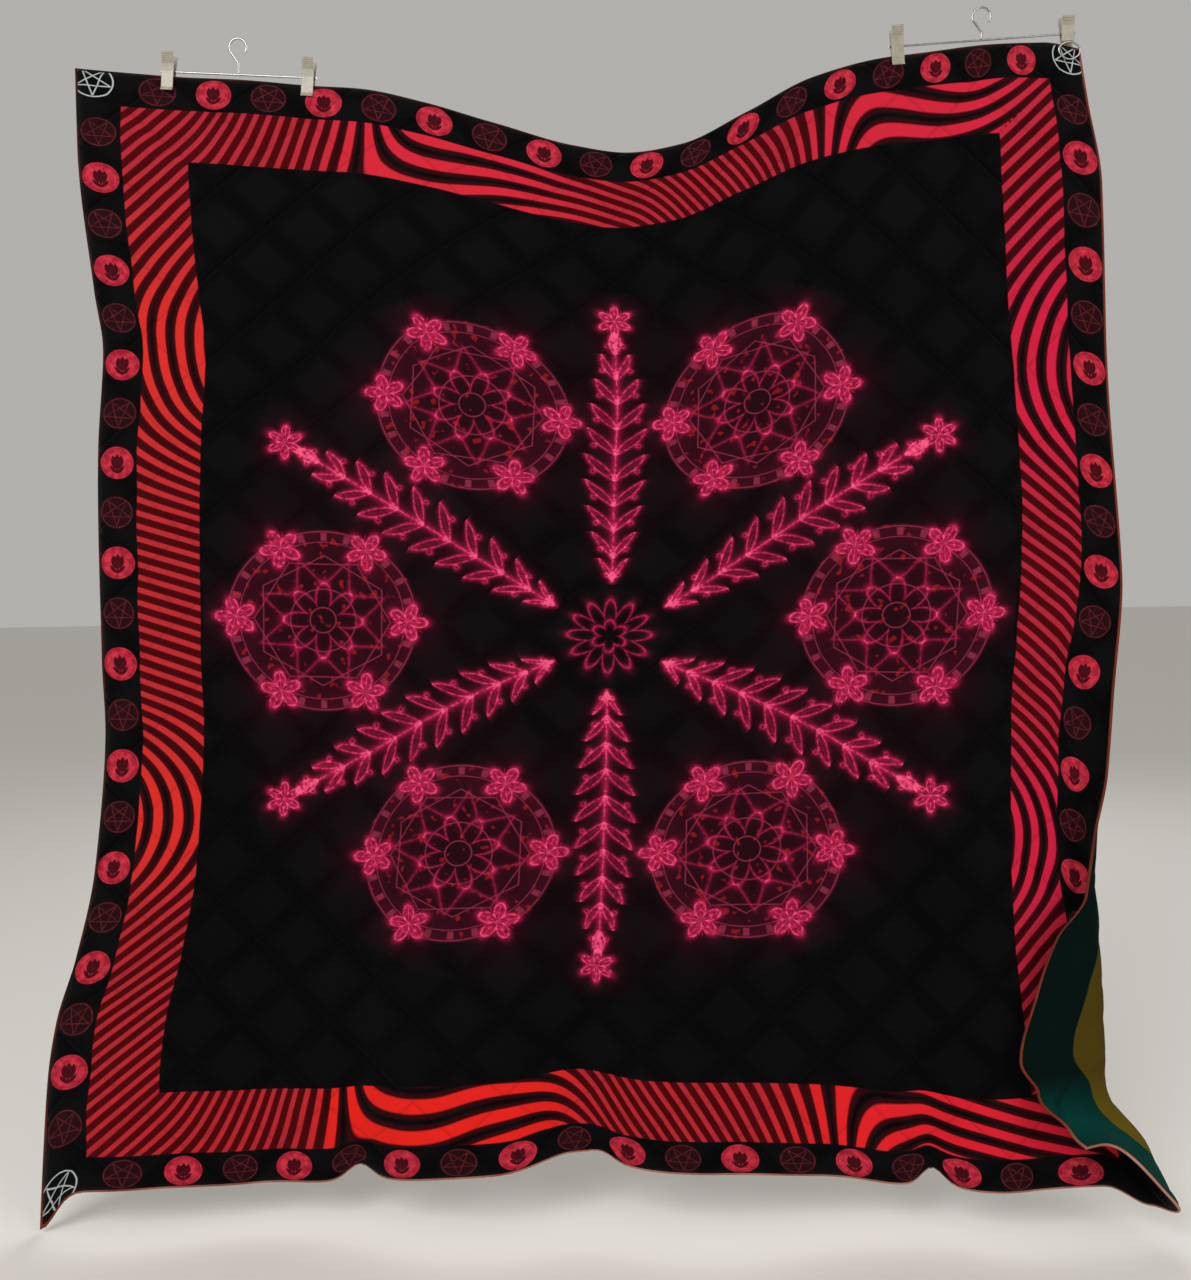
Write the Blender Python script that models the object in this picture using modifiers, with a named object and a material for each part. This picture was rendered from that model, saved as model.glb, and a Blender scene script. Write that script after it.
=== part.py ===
"""Quilt hanging from two clip hangers, with its lower right edge rolled forward.

Metres, +X right as seen from the front, +Y away from the viewer, +Z up.
The origin is on the line that both hanger hooks hang over, half way between them.
"""
import math

import bmesh
import bpy
from mathutils import Matrix, Vector

# Flat quilt, binding included
QUILT_WIDTH = 1.524
QUILT_LENGTH = 1.778
BINDING_WIDTH = 0.005
BINDING_HALF_THICKNESS = 0.0021
BINDING_INNER_HALF = 0.0011
PIECE_GAP = 0.0014

# Quilting: diamonds whose diagonals divide the quilt 12 by 14
DIAMOND = 0.127
CELLS_PER_DIAMOND = 4
SEAM_HALF_THICKNESS = 0.0014
PAD_HALF_THICKNESS = 0.0042
EDGE_HALF_THICKNESS = 0.0012

# How the sheet hangs
CLIP_LINE_DROP = 0.066
SWAG_FADE = 1.7
DRIFT_FADE = 3
BULGE_FADE = 4
LEAN = 0.160
LEAN_START = 0.25
LEAN_POWER = 1.25
ROLL_FROM = 10.75 * DIAMOND
ROLL_FLAT_CELLS = 2
ROLL_ARC_CELLS = 4
ROLL_FLAP_CELLS = 2
ROLL_BUNCHED_AT = 130.0
LIFT_START = 0.12
LIFT_SPAN = 0.78
SMALL_STEP = 0.0005

# Hangers and clips
WIRE_RADIUS = 0.0016
ROD_OVERHANG = 0.012
HOOK_RADIUS = 0.013
HOOK_TIP_ANGLE = -35
HOOK_NECK_ANGLE = 225
HOOK_BEND_STEP = 20
HOOK_NECK_BEND = (-0.0033, -0.0297)
HOOK_STEM_TOP = -0.034
WIRE_GAP = 0.0003
CLIP_WIDTH = 0.018
CLIP_PLATE = 0.0014
SPRING_RADIUS = 0.0034
SPRING_HOLE = 0.0021
SPRING_LENGTH = 0.009
LOOP_WIRE_RADIUS = 0.0014


def table(columns, *rows):
    """A short table: its named columns, each with one value for a row."""
    return {name: [row[place] for row in rows] for place, name in enumerate(columns.split())}


# Height of the top edge over the clip line, along the flat width
TOP_EDGE = table(
    "across height",
    (0.000, 0.038),
    (0.122, 0.016),
    (0.318, -0.006),
    (0.387, -0.014),
    (0.477, -0.041),
    (0.567, -0.077),
    (0.686, -0.119),
    (0.773, -0.133),
    (0.853, -0.123),
    (0.960, -0.077),
    (1.060, -0.027),
    (1.161, -0.001),
    (1.205, 0.004),
    (1.460, 0.014),
    (1.524, 0.003),
)

# The level line that the top edge sags from, and the hem at rest
TOP_LINE = table("across height", (0.000, 0.022), (1.524, 0.012))
HEM_LINE = table(
    "across height",
    (0.000, -1.600),
    (0.145, -1.592),
    (0.270, -1.598),
    (0.400, -1.597),
    (0.490, -1.583),
    (0.620, -1.570),
    (0.760, -1.570),
    (0.930, -1.567),
    (1.060, -1.580),
    (1.220, -1.596),
    (1.440, -1.589),
    (1.485, -1.616),
    (1.524, -1.630),
)

# Left edge: distance down the flat length, and how far it stands to the side
LEFT_EDGE = table(
    "down side",
    (0.000, -0.8005),
    (0.140, -0.7995),
    (0.380, -0.7785),
    (0.480, -0.7665),
    (0.640, -0.7725),
    (0.960, -0.7605),
    (1.085, -0.7520),
    (1.280, -0.7615),
    (1.420, -0.7845),
    (1.520, -0.8105),
    (1.600, -0.8195),
    (1.778, -0.8245),
)

# The line inside the right border, where the roll's own cells begin
INSIDE_LINE = table(
    "down side",
    (0.000, 0.5578),
    (0.200, 0.5628),
    (0.700, 0.5828),
    (1.100, 0.5523),
    (1.380, 0.5443),
    (1.550, 0.5523),
    (1.778, 0.5592),
)

# Sideways drift of the cloth between its edges, at the top and at the hem
DRIFT = table(
    "across top hem",
    (0.000, 0.000, 0.000),
    (0.160, 0.033, 0.022),
    (0.340, 0.047, 0.016),
    (0.490, 0.061, 0.021),
    (0.650, 0.071, 0.028),
    (0.800, 0.066, 0.024),
    (0.950, 0.052, 0.021),
    (1.110, 0.040, 0.024),
    (1.260, 0.025, 0.014),
    (1.365, 0.000, 0.000),
)

# Slack taken up between top and hem, beside the left and the right edge
SLACK = table(
    "down left right",
    (0.000, 0.000, 0.000),
    (0.186, 0.010, 0.008),
    (0.340, 0.014, -0.003),
    (0.500, 0.015, -0.011),
    (0.650, 0.010, -0.017),
    (0.810, 0.003, -0.020),
    (1.120, -0.009, -0.020),
    (1.280, -0.012, -0.018),
    (1.430, -0.008, -0.017),
    (1.628, -0.007, -0.016),
    (1.700, -0.009, -0.014),
    (1.778, 0.000, 0.000),
)

# Right edge: its outline, and the forward roll: bend radius, turn in degrees,
# cloth past the bend, how far the corner is lifted, and the print held on the flat run
RIGHT_EDGE = table(
    "down side radius turn flap lift print",
    (0.000, 0.6870, 0.060, 0.0, 0.000, 0.000, 1.000),
    (0.090, 0.6985, 0.060, 0.0, 0.000, 0.000, 1.000),
    (0.220, 0.7175, 0.060, 0.0, 0.000, 0.000, 1.000),
    (0.530, 0.7235, 0.060, 0.0, 0.000, 0.000, 1.000),
    (0.800, 0.7315, 0.050, 10.0, 0.000, 0.000, 0.953),
    (1.010, 0.7035, 0.038, 55.0, 0.000, 0.000, 0.906),
    (1.110, 0.6860, 0.028, 92.0, 0.000, 0.000, 0.887),
    (1.210, 0.6660, 0.021, 138.0, 0.000, 0.000, 0.840),
    (1.290, 0.6605, 0.019, 160.0, 0.005, 0.000, 0.812),
    (1.350, 0.6620, 0.018, 170.0, 0.048, 0.000, 0.775),
    (1.430, 0.6625, 0.018, 173.0, 0.079, 0.000, 0.737),
    (1.525, 0.6590, 0.019, 173.0, 0.103, 0.000, 0.700),
    (1.580, 0.6580, 0.020, 173.0, 0.080, 0.010, 0.681),
    (1.670, 0.7050, 0.025, 170.0, 0.096, 0.058, 0.681),
    (1.778, 0.7420, 0.031, 168.0, 0.117, 0.130, 0.737),
)

# Soft folds: place, spread, and how far each stands forward at top, middle and hem
FOLDS = table(
    "across spread top middle hem",
    (0.100, 0.090, 0.000, 0.010, 0.018),
    (0.320, 0.090, 0.000, -0.012, -0.022),
    (0.429, 0.045, 0.000, 0.000, -0.020),
    (0.600, 0.110, 0.004, 0.014, 0.022),
    (0.735, 0.070, 0.000, -0.010, -0.030),
    (0.920, 0.110, 0.006, 0.012, 0.018),
    (1.100, 0.090, 0.000, -0.012, -0.014),
    (1.220, 0.040, 0.000, 0.000, -0.020),
    (1.330, 0.070, 0.000, 0.008, 0.014),
)

# Where the hem is drawn up (or drops, at the left corner): place, spread, rise, reach
HEM_LIFTS = table(
    "across spread rise reach",
    (0.000, 0.028, -0.055, 0.080),
    (0.429, 0.024, 0.022, 0.060),
    (0.715, 0.060, 0.016, 0.170),
    (0.762, 0.022, 0.009, 0.050),
    (1.220, 0.021, 0.022, 0.060),
)

# Top edge between neighbouring clips: how far it bulges forward
TOP_BULGES = table(
    "start end forward",
    (-0.150, 0.122, -0.010),
    (0.122, 0.318, 0.006),
    (0.318, 1.205, 0.032),
    (1.205, 1.489, 0.006),
)

# Two hangers: middle of the rod, its tilt in degrees, and the distance between its clips
HANGERS = {
    "left": {"middle": -0.547, "height": -0.052, "tilt": -4.6, "spacing": 0.212},
    "right": {"middle": 0.547, "height": -0.045, "tilt": 1.9, "spacing": 0.243},
}

# Side profile of a clip's front plate, from handle to grip; the back plate mirrors it
CLIP_PROFILE = table(
    "forward height",
    (0.0105, 0.0270),
    (0.0065, 0.0100),
    (0.0049, 0.0000),
    (0.0049, -0.0240),
    (0.0072, -0.0290),
)
LAST_CLIP_PROFILE = table(
    "forward height",
    (0.0105, 0.0220),
    (0.0065, 0.0100),
    (0.0049, 0.0000),
    (0.0049, -0.0120),
)
LOOP_CORNERS = table(
    "side height",
    (-0.0065, -0.0135),
    (-0.0160, -0.0220),
    (-0.0110, -0.0340),
    (0.0020, -0.0400),
    (0.0140, -0.0340),
    (0.0175, -0.0240),
    (0.0065, -0.0135),
)

# The binding's section: distance in from the quilt's outline, and height over its middle
BINDING_SECTION = (
    (0.0, BINDING_HALF_THICKNESS),
    (0.0, -BINDING_HALF_THICKNESS),
    (BINDING_WIDTH, -BINDING_INNER_HALF),
    (BINDING_WIDTH, BINDING_INNER_HALF),
)

COLOURS = {
    "printed_cloth": (0.012, 0.011, 0.012),
    "binding_tape": (0.42, 0.24, 0.20),
    "steel_wire": (0.60, 0.61, 0.60),
    "clip_plastic": (0.62, 0.62, 0.58),
}


def smooth_value(rows, key, column, at):
    """Value of a column at a place along the key column, on a curve that never overshoots."""
    keys = rows[key]
    values = rows[column]
    at = min(max(at, keys[0]), keys[-1])
    first = max(place for place in range(len(keys) - 1) if keys[place] <= at)
    steps = [keys[place + 1] - keys[place] for place in range(len(keys) - 1)]
    slopes = [(values[place + 1] - values[place]) / step for place, step in enumerate(steps)]

    def slope_at(place):
        if place == 0:
            return slopes[0]
        if place == len(slopes):
            return slopes[-1]
        before, after = slopes[place - 1], slopes[place]
        if before * after <= 0:
            return 0.0
        return 2 * before * after / (before + after)

    width = steps[first]
    part = (at - keys[first]) / width
    start = values[first] * (1 + 2 * part) * (1 - part) ** 2
    end = values[first + 1] * part ** 2 * (3 - 2 * part)
    leave = slope_at(first) * width * part * (1 - part) ** 2
    arrive = slope_at(first + 1) * width * part ** 2 * (part - 1)
    return start + end + leave + arrive


def bell(distance, spread):
    """A soft bump, one at its middle and nearly nothing two spreads away."""
    return math.exp(-((distance / spread) ** 2))


def rows_of(rows):
    """The rows of a table, each as a dictionary by column name."""
    names = list(rows)
    return [dict(zip(names, values)) for values in zip(*rows.values())]


FOLD_ROWS = rows_of(FOLDS)
LIFT_ROWS = rows_of(HEM_LIFTS)
BULGE_ROWS = rows_of(TOP_BULGES)


def forward_depth(across, down):
    """How far the sheet stands toward the viewer."""
    share = down / QUILT_LENGTH
    depth = LEAN * max(0.0, (share - LEAN_START) / (1 - LEAN_START)) ** LEAN_POWER
    for fold in FOLD_ROWS:
        if share < 0.5:
            height = fold["top"] + (fold["middle"] - fold["top"]) * smooth_share(share * 2)
        else:
            height = fold["middle"] + (fold["hem"] - fold["middle"]) * smooth_share(share * 2 - 1)
        depth += height * bell(across - fold["across"], fold["spread"])
    for bulge in BULGE_ROWS:
        if bulge["start"] <= across <= bulge["end"]:
            place = (across - bulge["start"]) / (bulge["end"] - bulge["start"])
            depth += bulge["forward"] * math.sin(math.pi * place) ** 2 * (1 - share) ** BULGE_FADE
    return depth


def smooth_share(share):
    """Eases a share from nought to one."""
    share = min(max(share, 0.0), 1.0)
    return share * share * (3 - 2 * share)


def hang_height(across, down):
    """Height of a point of the sheet, before the roll lifts it."""
    share = down / QUILT_LENGTH
    line = smooth_value(TOP_LINE, "across", "height", across)
    sag = smooth_value(TOP_EDGE, "across", "height", across) - line
    hem = smooth_value(HEM_LINE, "across", "height", across)
    height = line + (hem - line) * share + sag * (1 - share) ** SWAG_FADE
    for lift in LIFT_ROWS:
        rise = lift["rise"] * math.exp(-(QUILT_LENGTH - down) / lift["reach"])
        height += rise * bell(across - lift["across"], lift["spread"])
    left = smooth_value(SLACK, "down", "left", down)
    right = smooth_value(SLACK, "down", "right", down)
    height += left + (right - left) * across / QUILT_WIDTH
    return height - CLIP_LINE_DROP


def drift(across, down):
    """How far the cloth stands to the right of an even spread between its edges."""
    share = down / QUILT_LENGTH
    top = smooth_value(DRIFT, "across", "top", across) * (1 - share) ** DRIFT_FADE
    hem = smooth_value(DRIFT, "across", "hem", across) * share ** DRIFT_FADE
    return top + hem


def roll_lengths(down):
    """Flat run, bend and flap of the right border at a place down the quilt."""
    inside = smooth_value(INSIDE_LINE, "down", "side", down)
    outline = smooth_value(RIGHT_EDGE, "down", "side", down)
    radius = smooth_value(RIGHT_EDGE, "down", "radius", down)
    turn = math.radians(smooth_value(RIGHT_EDGE, "down", "turn", down))
    flap = smooth_value(RIGHT_EDGE, "down", "flap", down)
    flat_run = outline - inside - radius * math.sin(min(turn, math.pi / 2))
    return inside, radius, turn, flat_run, radius * turn, flap


def sheet_point(across, down):
    """Point of the hanging sheet's middle surface for a point of the flat quilt."""
    left = smooth_value(LEFT_EDGE, "down", "side", down)
    inside, radius, turn, flat_run, bend, flap = roll_lengths(down)
    forward = forward_depth(across, down)
    height = hang_height(across, down)
    if across <= ROLL_FROM:
        side = left + (inside - left) * across / ROLL_FROM + drift(across, down)
        return Vector((side, -forward, height))
    share = (across - ROLL_FROM) / (QUILT_WIDTH - ROLL_FROM)
    held = smooth_value(RIGHT_EDGE, "down", "print", down)
    if share <= held or bend == 0:
        return Vector((inside + share / held * flat_run, -forward, height))
    spare = (1 - held) * (QUILT_WIDTH - ROLL_FROM)
    from_edge = QUILT_WIDTH - across
    eased = (bend + flap - spare) * (from_edge / spare) ** 2
    travel = flat_run + bend + flap - from_edge - eased
    angle = min(turn, (travel - flat_run) / radius)
    past = max(0.0, travel - flat_run - bend)
    side = inside + flat_run + radius * math.sin(angle) + past * math.cos(angle)
    forward += radius * (1 - math.cos(angle)) + past * math.sin(angle)
    rolled = (travel - flat_run) / (bend + flap)
    lifted = smooth_share((rolled - LIFT_START) / LIFT_SPAN)
    height += smooth_value(RIGHT_EDGE, "down", "lift", down) * lifted
    return Vector((side, -forward, height))


def sheet_normal(across, down):
    """Direction that the printed face looks in."""
    low, high = max(across - SMALL_STEP, 0), min(across + SMALL_STEP, QUILT_WIDTH)
    above, below = max(down - SMALL_STEP, 0), min(down + SMALL_STEP, QUILT_LENGTH)
    sideways = sheet_point(high, down) - sheet_point(low, down)
    downward = sheet_point(across, below) - sheet_point(across, above)
    return downward.cross(sideways).normalized()


def roll_share(cell, down):
    """Share of the right border's width at one of the roll's own cell lines."""
    held = smooth_value(RIGHT_EDGE, "down", "print", down)
    if cell <= ROLL_FLAT_CELLS:
        return held * cell / ROLL_FLAT_CELLS
    cell -= ROLL_FLAT_CELLS
    bend, flap = roll_lengths(down)[4:]
    if cell <= ROLL_ARC_CELLS:
        from_edge = flap + bend * (1 - cell / ROLL_ARC_CELLS)
    else:
        from_edge = flap * (1 - (cell - ROLL_ARC_CELLS) / ROLL_FLAP_CELLS)
    border = QUILT_WIDTH - ROLL_FROM
    spare = (1 - held) * border
    eased = 4 * (bend + flap - spare) * from_edge / spare ** 2
    return 1 - 2 * from_edge / (1 + math.sqrt(1 + eased)) / border


def even_roll_share(cell, down):
    """The roll's cell lines, even where the edge hangs flat and bunched where it bends."""
    cells = ROLL_FLAT_CELLS + ROLL_ARC_CELLS + ROLL_FLAP_CELLS
    mix = smooth_share(smooth_value(RIGHT_EDGE, "down", "turn", down) / ROLL_BUNCHED_AT)
    if mix == 0:
        return cell / cells
    return cell / cells * (1 - mix) + roll_share(cell, down) * mix


def column_count():
    """Cells across the quilt: the diamonds' own, then the roll's."""
    plain = round(ROLL_FROM / DIAMOND * CELLS_PER_DIAMOND)
    return plain, plain + ROLL_FLAT_CELLS + ROLL_ARC_CELLS + ROLL_FLAP_CELLS


def row_count():
    """Cells down the quilt."""
    return round(QUILT_LENGTH / DIAMOND * CELLS_PER_DIAMOND)


def column_place(column, down):
    """Distance across the flat quilt of a cell line."""
    plain = column_count()[0]
    if column <= plain:
        return column * DIAMOND / CELLS_PER_DIAMOND
    share = even_roll_share(column - plain, down)
    return ROLL_FROM + (QUILT_WIDTH - ROLL_FROM) * share


def inset(place, length, edge):
    """Keeps a cell line inside the flat quilt by the width of an edge."""
    return min(max(place, edge), length - edge)


def pad_fullness(across, down):
    """One at the middle of a diamond, nought on its sewn lines."""
    fullness = 1.0
    for line in (across + down, across - down):
        share = line / DIAMOND % 1.0
        fullness *= 4 * share * (1 - share)
    return math.sqrt(max(fullness, 0.0))


def half_thickness(across, down):
    """Half the quilt's thickness: full pads, sewn channels, thin at the bound edges."""
    edge = min(across, QUILT_WIDTH - across, down, QUILT_LENGTH - down)
    if edge < 2 * BINDING_WIDTH:
        return EDGE_HALF_THICKNESS
    pad = PAD_HALF_THICKNESS - SEAM_HALF_THICKNESS
    return SEAM_HALF_THICKNESS + pad * pad_fullness(across, down)


def material(name, roughness, metallic=0.0):
    """A Principled material in one of the part's colours."""
    made = bpy.data.materials.new(name)
    made.use_nodes = True
    shader = made.node_tree.nodes["Principled BSDF"]
    shader.inputs["Base Color"].default_value = (*COLOURS[name], 1)
    shader.inputs["Roughness"].default_value = roughness
    shader.inputs["Metallic"].default_value = metallic
    return made


def add_object(name, mesh, collection, finish):
    """An object of the part, in its collection and its material."""
    made = bpy.data.objects.new(name, mesh)
    made.data.materials.clear()
    made.data.materials.append(finish)
    collection.objects.link(made)
    return made


def grid_place(corner, columns):
    """Flat place of a corner of the unit grid, kept inside the binding."""
    edge = BINDING_WIDTH + PIECE_GAP
    down = inset((0.5 - corner.y) * QUILT_LENGTH, QUILT_LENGTH, edge)
    across = column_place(round((corner.x + 0.5) * columns), down)
    return inset(across, QUILT_WIDTH, edge), down


def split_along_seams(shape, columns, rows):
    """Cuts each cell of the grid along the sewn line that crosses it."""
    for cell in shape.faces[:]:
        corners = {}
        for corner in cell.verts:
            column = round((corner.co.x + 0.5) * columns)
            row = round((0.5 - corner.co.y) * rows)
            corners[column, row] = corner
        column, row = min(corners)
        rising = (column + row + 1) % CELLS_PER_DIAMOND == 0
        ends = ((1, 0), (0, 1)) if rising else ((0, 0), (1, 1))
        pair = [corners[column + right, row + low] for right, low in ends]
        bmesh.utils.face_split(cell, pair[0], pair[1])


def make_quilt(collection, finish):
    """The quilt: two faces of one grid, bent to the hanging sheet and joined at the rim."""
    columns, rows = column_count()[1], row_count()
    shape = bmesh.new()
    front = bmesh.ops.create_grid(shape, x_segments=columns, y_segments=rows, size=0.5)["verts"]
    split_along_seams(shape, columns, rows)
    copies = bmesh.ops.duplicate(shape, geom=shape.verts[:] + shape.edges[:] + shape.faces[:])
    back = [item for item in copies["geom"] if isinstance(item, bmesh.types.BMVert)]
    back_faces = [item for item in copies["geom"] if isinstance(item, bmesh.types.BMFace)]
    rims = [edge for edge in shape.edges if edge.is_boundary]
    bmesh.ops.reverse_faces(shape, faces=back_faces)
    bmesh.ops.bridge_loops(shape, edges=rims)
    for side, corners in ((1, front), (-1, back)):
        for corner in corners:
            place = grid_place(corner.co, columns)
            offset = sheet_normal(*place) * half_thickness(*place)
            corner.co = sheet_point(*place) + offset * side
    bmesh.ops.recalc_face_normals(shape, faces=shape.faces[:])
    mesh = bpy.data.meshes.new("quilt")
    shape.to_mesh(mesh)
    shape.free()
    return add_object("quilt", mesh, collection, finish)


def edge_stations():
    """Cell lines round the quilt's edge, clockwise from the top left corner."""
    columns, rows = column_count()[1], row_count()
    edge = BINDING_WIDTH + PIECE_GAP
    downs = [row * QUILT_LENGTH / rows for row in range(rows + 1)]
    hem = QUILT_LENGTH - edge
    top = [(column_place(column, edge), 0.0) for column in range(columns)]
    right = [(QUILT_WIDTH, down) for down in downs[:-1]]
    low = [(column_place(column, hem), QUILT_LENGTH) for column in range(columns, 0, -1)]
    left = [(0.0, down) for down in reversed(downs[1:])]
    return top + right + low + left


def make_binding(collection, finish):
    """The binding: one strip round the whole edge, lofted from a four-sided section."""
    shape = bmesh.new()
    sections = []
    for across, down in edge_stations():
        section = []
        for edge, height in BINDING_SECTION:
            place = (inset(across, QUILT_WIDTH, edge), inset(down, QUILT_LENGTH, edge))
            offset = sheet_normal(*place) * height
            section.append(shape.verts.new(sheet_point(*place) + offset))
        sections.append(section)
    for section, following in zip(sections, sections[1:] + sections[:1]):
        for corner in range(4):
            after = (corner + 1) % 4
            shape.faces.new((section[corner], section[after], following[after], following[corner]))
    bmesh.ops.recalc_face_normals(shape, faces=shape.faces[:])
    mesh = bpy.data.meshes.new("binding")
    shape.to_mesh(mesh)
    shape.free()
    return add_object("binding", mesh, collection, finish)


def make_wire(name, points, radius, collection, finish, cyclic=False):
    """A round wire along straight runs between points."""
    curve = bpy.data.curves.new(name, "CURVE")
    curve.dimensions = "3D"
    curve.bevel_depth = radius
    curve.bevel_resolution = 2
    curve.use_fill_caps = not cyclic
    spline = curve.splines.new("POLY")
    spline.points.add(len(points) - 1)
    for target, point in zip(spline.points, points):
        target.co = (*point, 1)
    spline.use_cyclic_u = cyclic
    return add_object(name, curve, collection, finish)


def make_plate(name, profile, side, collection, finish):
    """A bent clip plate: its side profile drawn across the clip's width, then thickened."""
    shape = bmesh.new()
    line = [
        shape.verts.new((-CLIP_WIDTH / 2, -side * row["forward"], row["height"]))
        for row in rows_of(profile)
    ]
    edges = [shape.edges.new(pair) for pair in zip(line, line[1:])]
    drawn = bmesh.ops.extrude_edge_only(shape, edges=edges)["geom"]
    moved = [item for item in drawn if isinstance(item, bmesh.types.BMVert)]
    bmesh.ops.translate(shape, verts=moved, vec=(CLIP_WIDTH, 0, 0))
    mesh = bpy.data.meshes.new(name)
    shape.to_mesh(mesh)
    shape.free()
    plate = add_object(name, mesh, collection, finish)
    wall = plate.modifiers.new("Plate", "SOLIDIFY")
    wall.thickness = CLIP_PLATE
    wall.offset = 0
    wall.use_even_offset = True
    return plate


def make_spring(name, collection, finish):
    """The spring's outer form, a turned sleeve round the rod."""
    shape = bmesh.new()
    half = SPRING_LENGTH / 2
    outline = [(-half, SPRING_HOLE), (half, SPRING_HOLE), (half, SPRING_RADIUS), (-half, SPRING_RADIUS)]
    corners = [shape.verts.new((along, 0, reach)) for along, reach in outline]
    sides = [shape.edges.new((corners[i], corners[(i + 1) % 4])) for i in range(4)]
    bmesh.ops.spin(
        shape,
        geom=corners + sides,
        cent=(0, 0, 0),
        axis=(1, 0, 0),
        angle=2 * math.pi,
        steps=16,
        use_merge=True,
    )
    bmesh.ops.recalc_face_normals(shape, faces=shape.faces[:])
    mesh = bpy.data.meshes.new(name)
    shape.to_mesh(mesh)
    shape.free()
    return add_object(name, mesh, collection, finish)


def make_hanger(name, hanger, first_clip, collection, finishes):
    """One hanger: hook, rod, and two clips that hang from the rod."""
    wire, plastic = finishes
    half = hanger["spacing"] / 2
    place = Matrix.Translation((hanger["middle"], 0, hanger["height"]))
    place @= Matrix.Rotation(math.radians(-hanger["tilt"]), 4, "Y")
    reach = half + ROD_OVERHANG
    rod = make_wire(f"rod_{name}", [(-reach, 0, 0), (reach, 0, 0)], WIRE_RADIUS, collection, wire)
    rod.matrix_world = place
    crown = WIRE_RADIUS - HOOK_RADIUS
    turns = range(HOOK_TIP_ANGLE, HOOK_NECK_ANGLE + 1, HOOK_BEND_STEP)
    bends = [math.radians(angle) for angle in turns]
    points = [(HOOK_RADIUS * math.cos(a), 0, crown + HOOK_RADIUS * math.sin(a)) for a in bends]
    points.append((HOOK_NECK_BEND[0], 0, HOOK_NECK_BEND[1]))
    points.append((0, 0, HOOK_STEM_TOP))
    points.append((0, 0, hanger["height"] + WIRE_RADIUS + WIRE_GAP))
    hook = make_wire(f"hook_{name}", points, WIRE_RADIUS, collection, wire)
    hook.location.x = hanger["middle"]
    for number, side in enumerate((-half, half)):
        clip = f"clip_{first_clip + number}"
        looped = clip == "clip_4"
        profile = LAST_CLIP_PROFILE if looped else CLIP_PROFILE
        spot = place @ Matrix.Translation((side, 0, 0))
        pieces = [
            make_plate(f"{clip}_front", profile, 1, collection, plastic),
            make_plate(f"{clip}_back", CLIP_PROFILE, -1, collection, plastic),
            make_spring(f"{clip}_spring", collection, wire),
        ]
        if looped:
            forward = CLIP_PROFILE["forward"][3] + LOOP_WIRE_RADIUS / 2
            loop = [
                (row["side"], -forward, row["height"]) for row in rows_of(LOOP_CORNERS)
            ]
            pieces.append(make_wire(f"{clip}_loop", loop, LOOP_WIRE_RADIUS, collection, wire))
        for piece in pieces:
            piece.matrix_world = spot


def main():
    for item in list(bpy.data.objects):
        bpy.data.objects.remove(item)
    part = bpy.data.collections.new("quilt_on_clip_hangers")
    bpy.context.scene.collection.children.link(part)
    cloth = material("printed_cloth", 0.9)
    tape = material("binding_tape", 0.8)
    wire = material("steel_wire", 0.3, 1.0)
    plastic = material("clip_plastic", 0.45)
    make_quilt(part, cloth)
    make_binding(part, tape)
    for number, (name, hanger) in enumerate(HANGERS.items()):
        make_hanger(name, hanger, 1 + 2 * number, part, (wire, plastic))


main()
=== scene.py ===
# Looks for the quilt on two clip hangers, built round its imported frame.
import math

import bmesh
import bpy
import numpy as np
from bmesh import ops
from mathutils import Matrix, Vector


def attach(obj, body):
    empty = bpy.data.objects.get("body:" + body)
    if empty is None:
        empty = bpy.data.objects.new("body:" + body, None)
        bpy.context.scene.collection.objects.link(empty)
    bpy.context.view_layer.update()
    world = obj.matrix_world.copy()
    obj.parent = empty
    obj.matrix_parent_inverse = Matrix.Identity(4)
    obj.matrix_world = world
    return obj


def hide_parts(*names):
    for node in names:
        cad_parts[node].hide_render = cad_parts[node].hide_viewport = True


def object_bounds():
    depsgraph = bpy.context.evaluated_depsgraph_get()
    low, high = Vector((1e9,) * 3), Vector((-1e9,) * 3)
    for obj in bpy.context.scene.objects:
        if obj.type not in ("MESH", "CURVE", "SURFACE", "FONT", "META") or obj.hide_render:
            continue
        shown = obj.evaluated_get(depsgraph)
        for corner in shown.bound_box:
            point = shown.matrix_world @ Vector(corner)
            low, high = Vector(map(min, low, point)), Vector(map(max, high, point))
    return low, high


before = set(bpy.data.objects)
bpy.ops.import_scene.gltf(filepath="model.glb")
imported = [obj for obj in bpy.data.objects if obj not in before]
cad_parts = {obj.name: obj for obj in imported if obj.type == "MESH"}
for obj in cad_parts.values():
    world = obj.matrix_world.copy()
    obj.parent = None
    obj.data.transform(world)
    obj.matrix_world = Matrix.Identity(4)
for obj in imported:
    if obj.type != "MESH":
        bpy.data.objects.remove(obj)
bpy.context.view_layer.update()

sceneNow = bpy.context.scene

# The flat quilt and how it hangs, in metres
quilt = {
    "width": 1.524,
    "length": 1.778,
    "trim": 0.0035,
    "diamond": 0.127,
    "seamHalf": 0.0013,
    "padHalf": 0.0043,
    "edgeHalf": 0.0012,
    "edgeFlat": 0.004,
    "edgeFrom": 0.01,
    "clipLineDrop": 0.066,
    "swagFade": 1.7,
    "driftFade": 3,
    "bulgeFade": 4,
    "lean": 0.16,
    "leanStart": 0.25,
    "leanPower": 1.25,
    "rollFrom": 10.75 * 0.127,
    "liftStart": 0.12,
    "liftSpan": 0.78,
    "columns": 172,
    "rollColumns": 44,
    "rows": 224,
}
width, length = quilt["width"], quilt["length"]
# Keeps a division off nought
least = 1e-6

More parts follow.
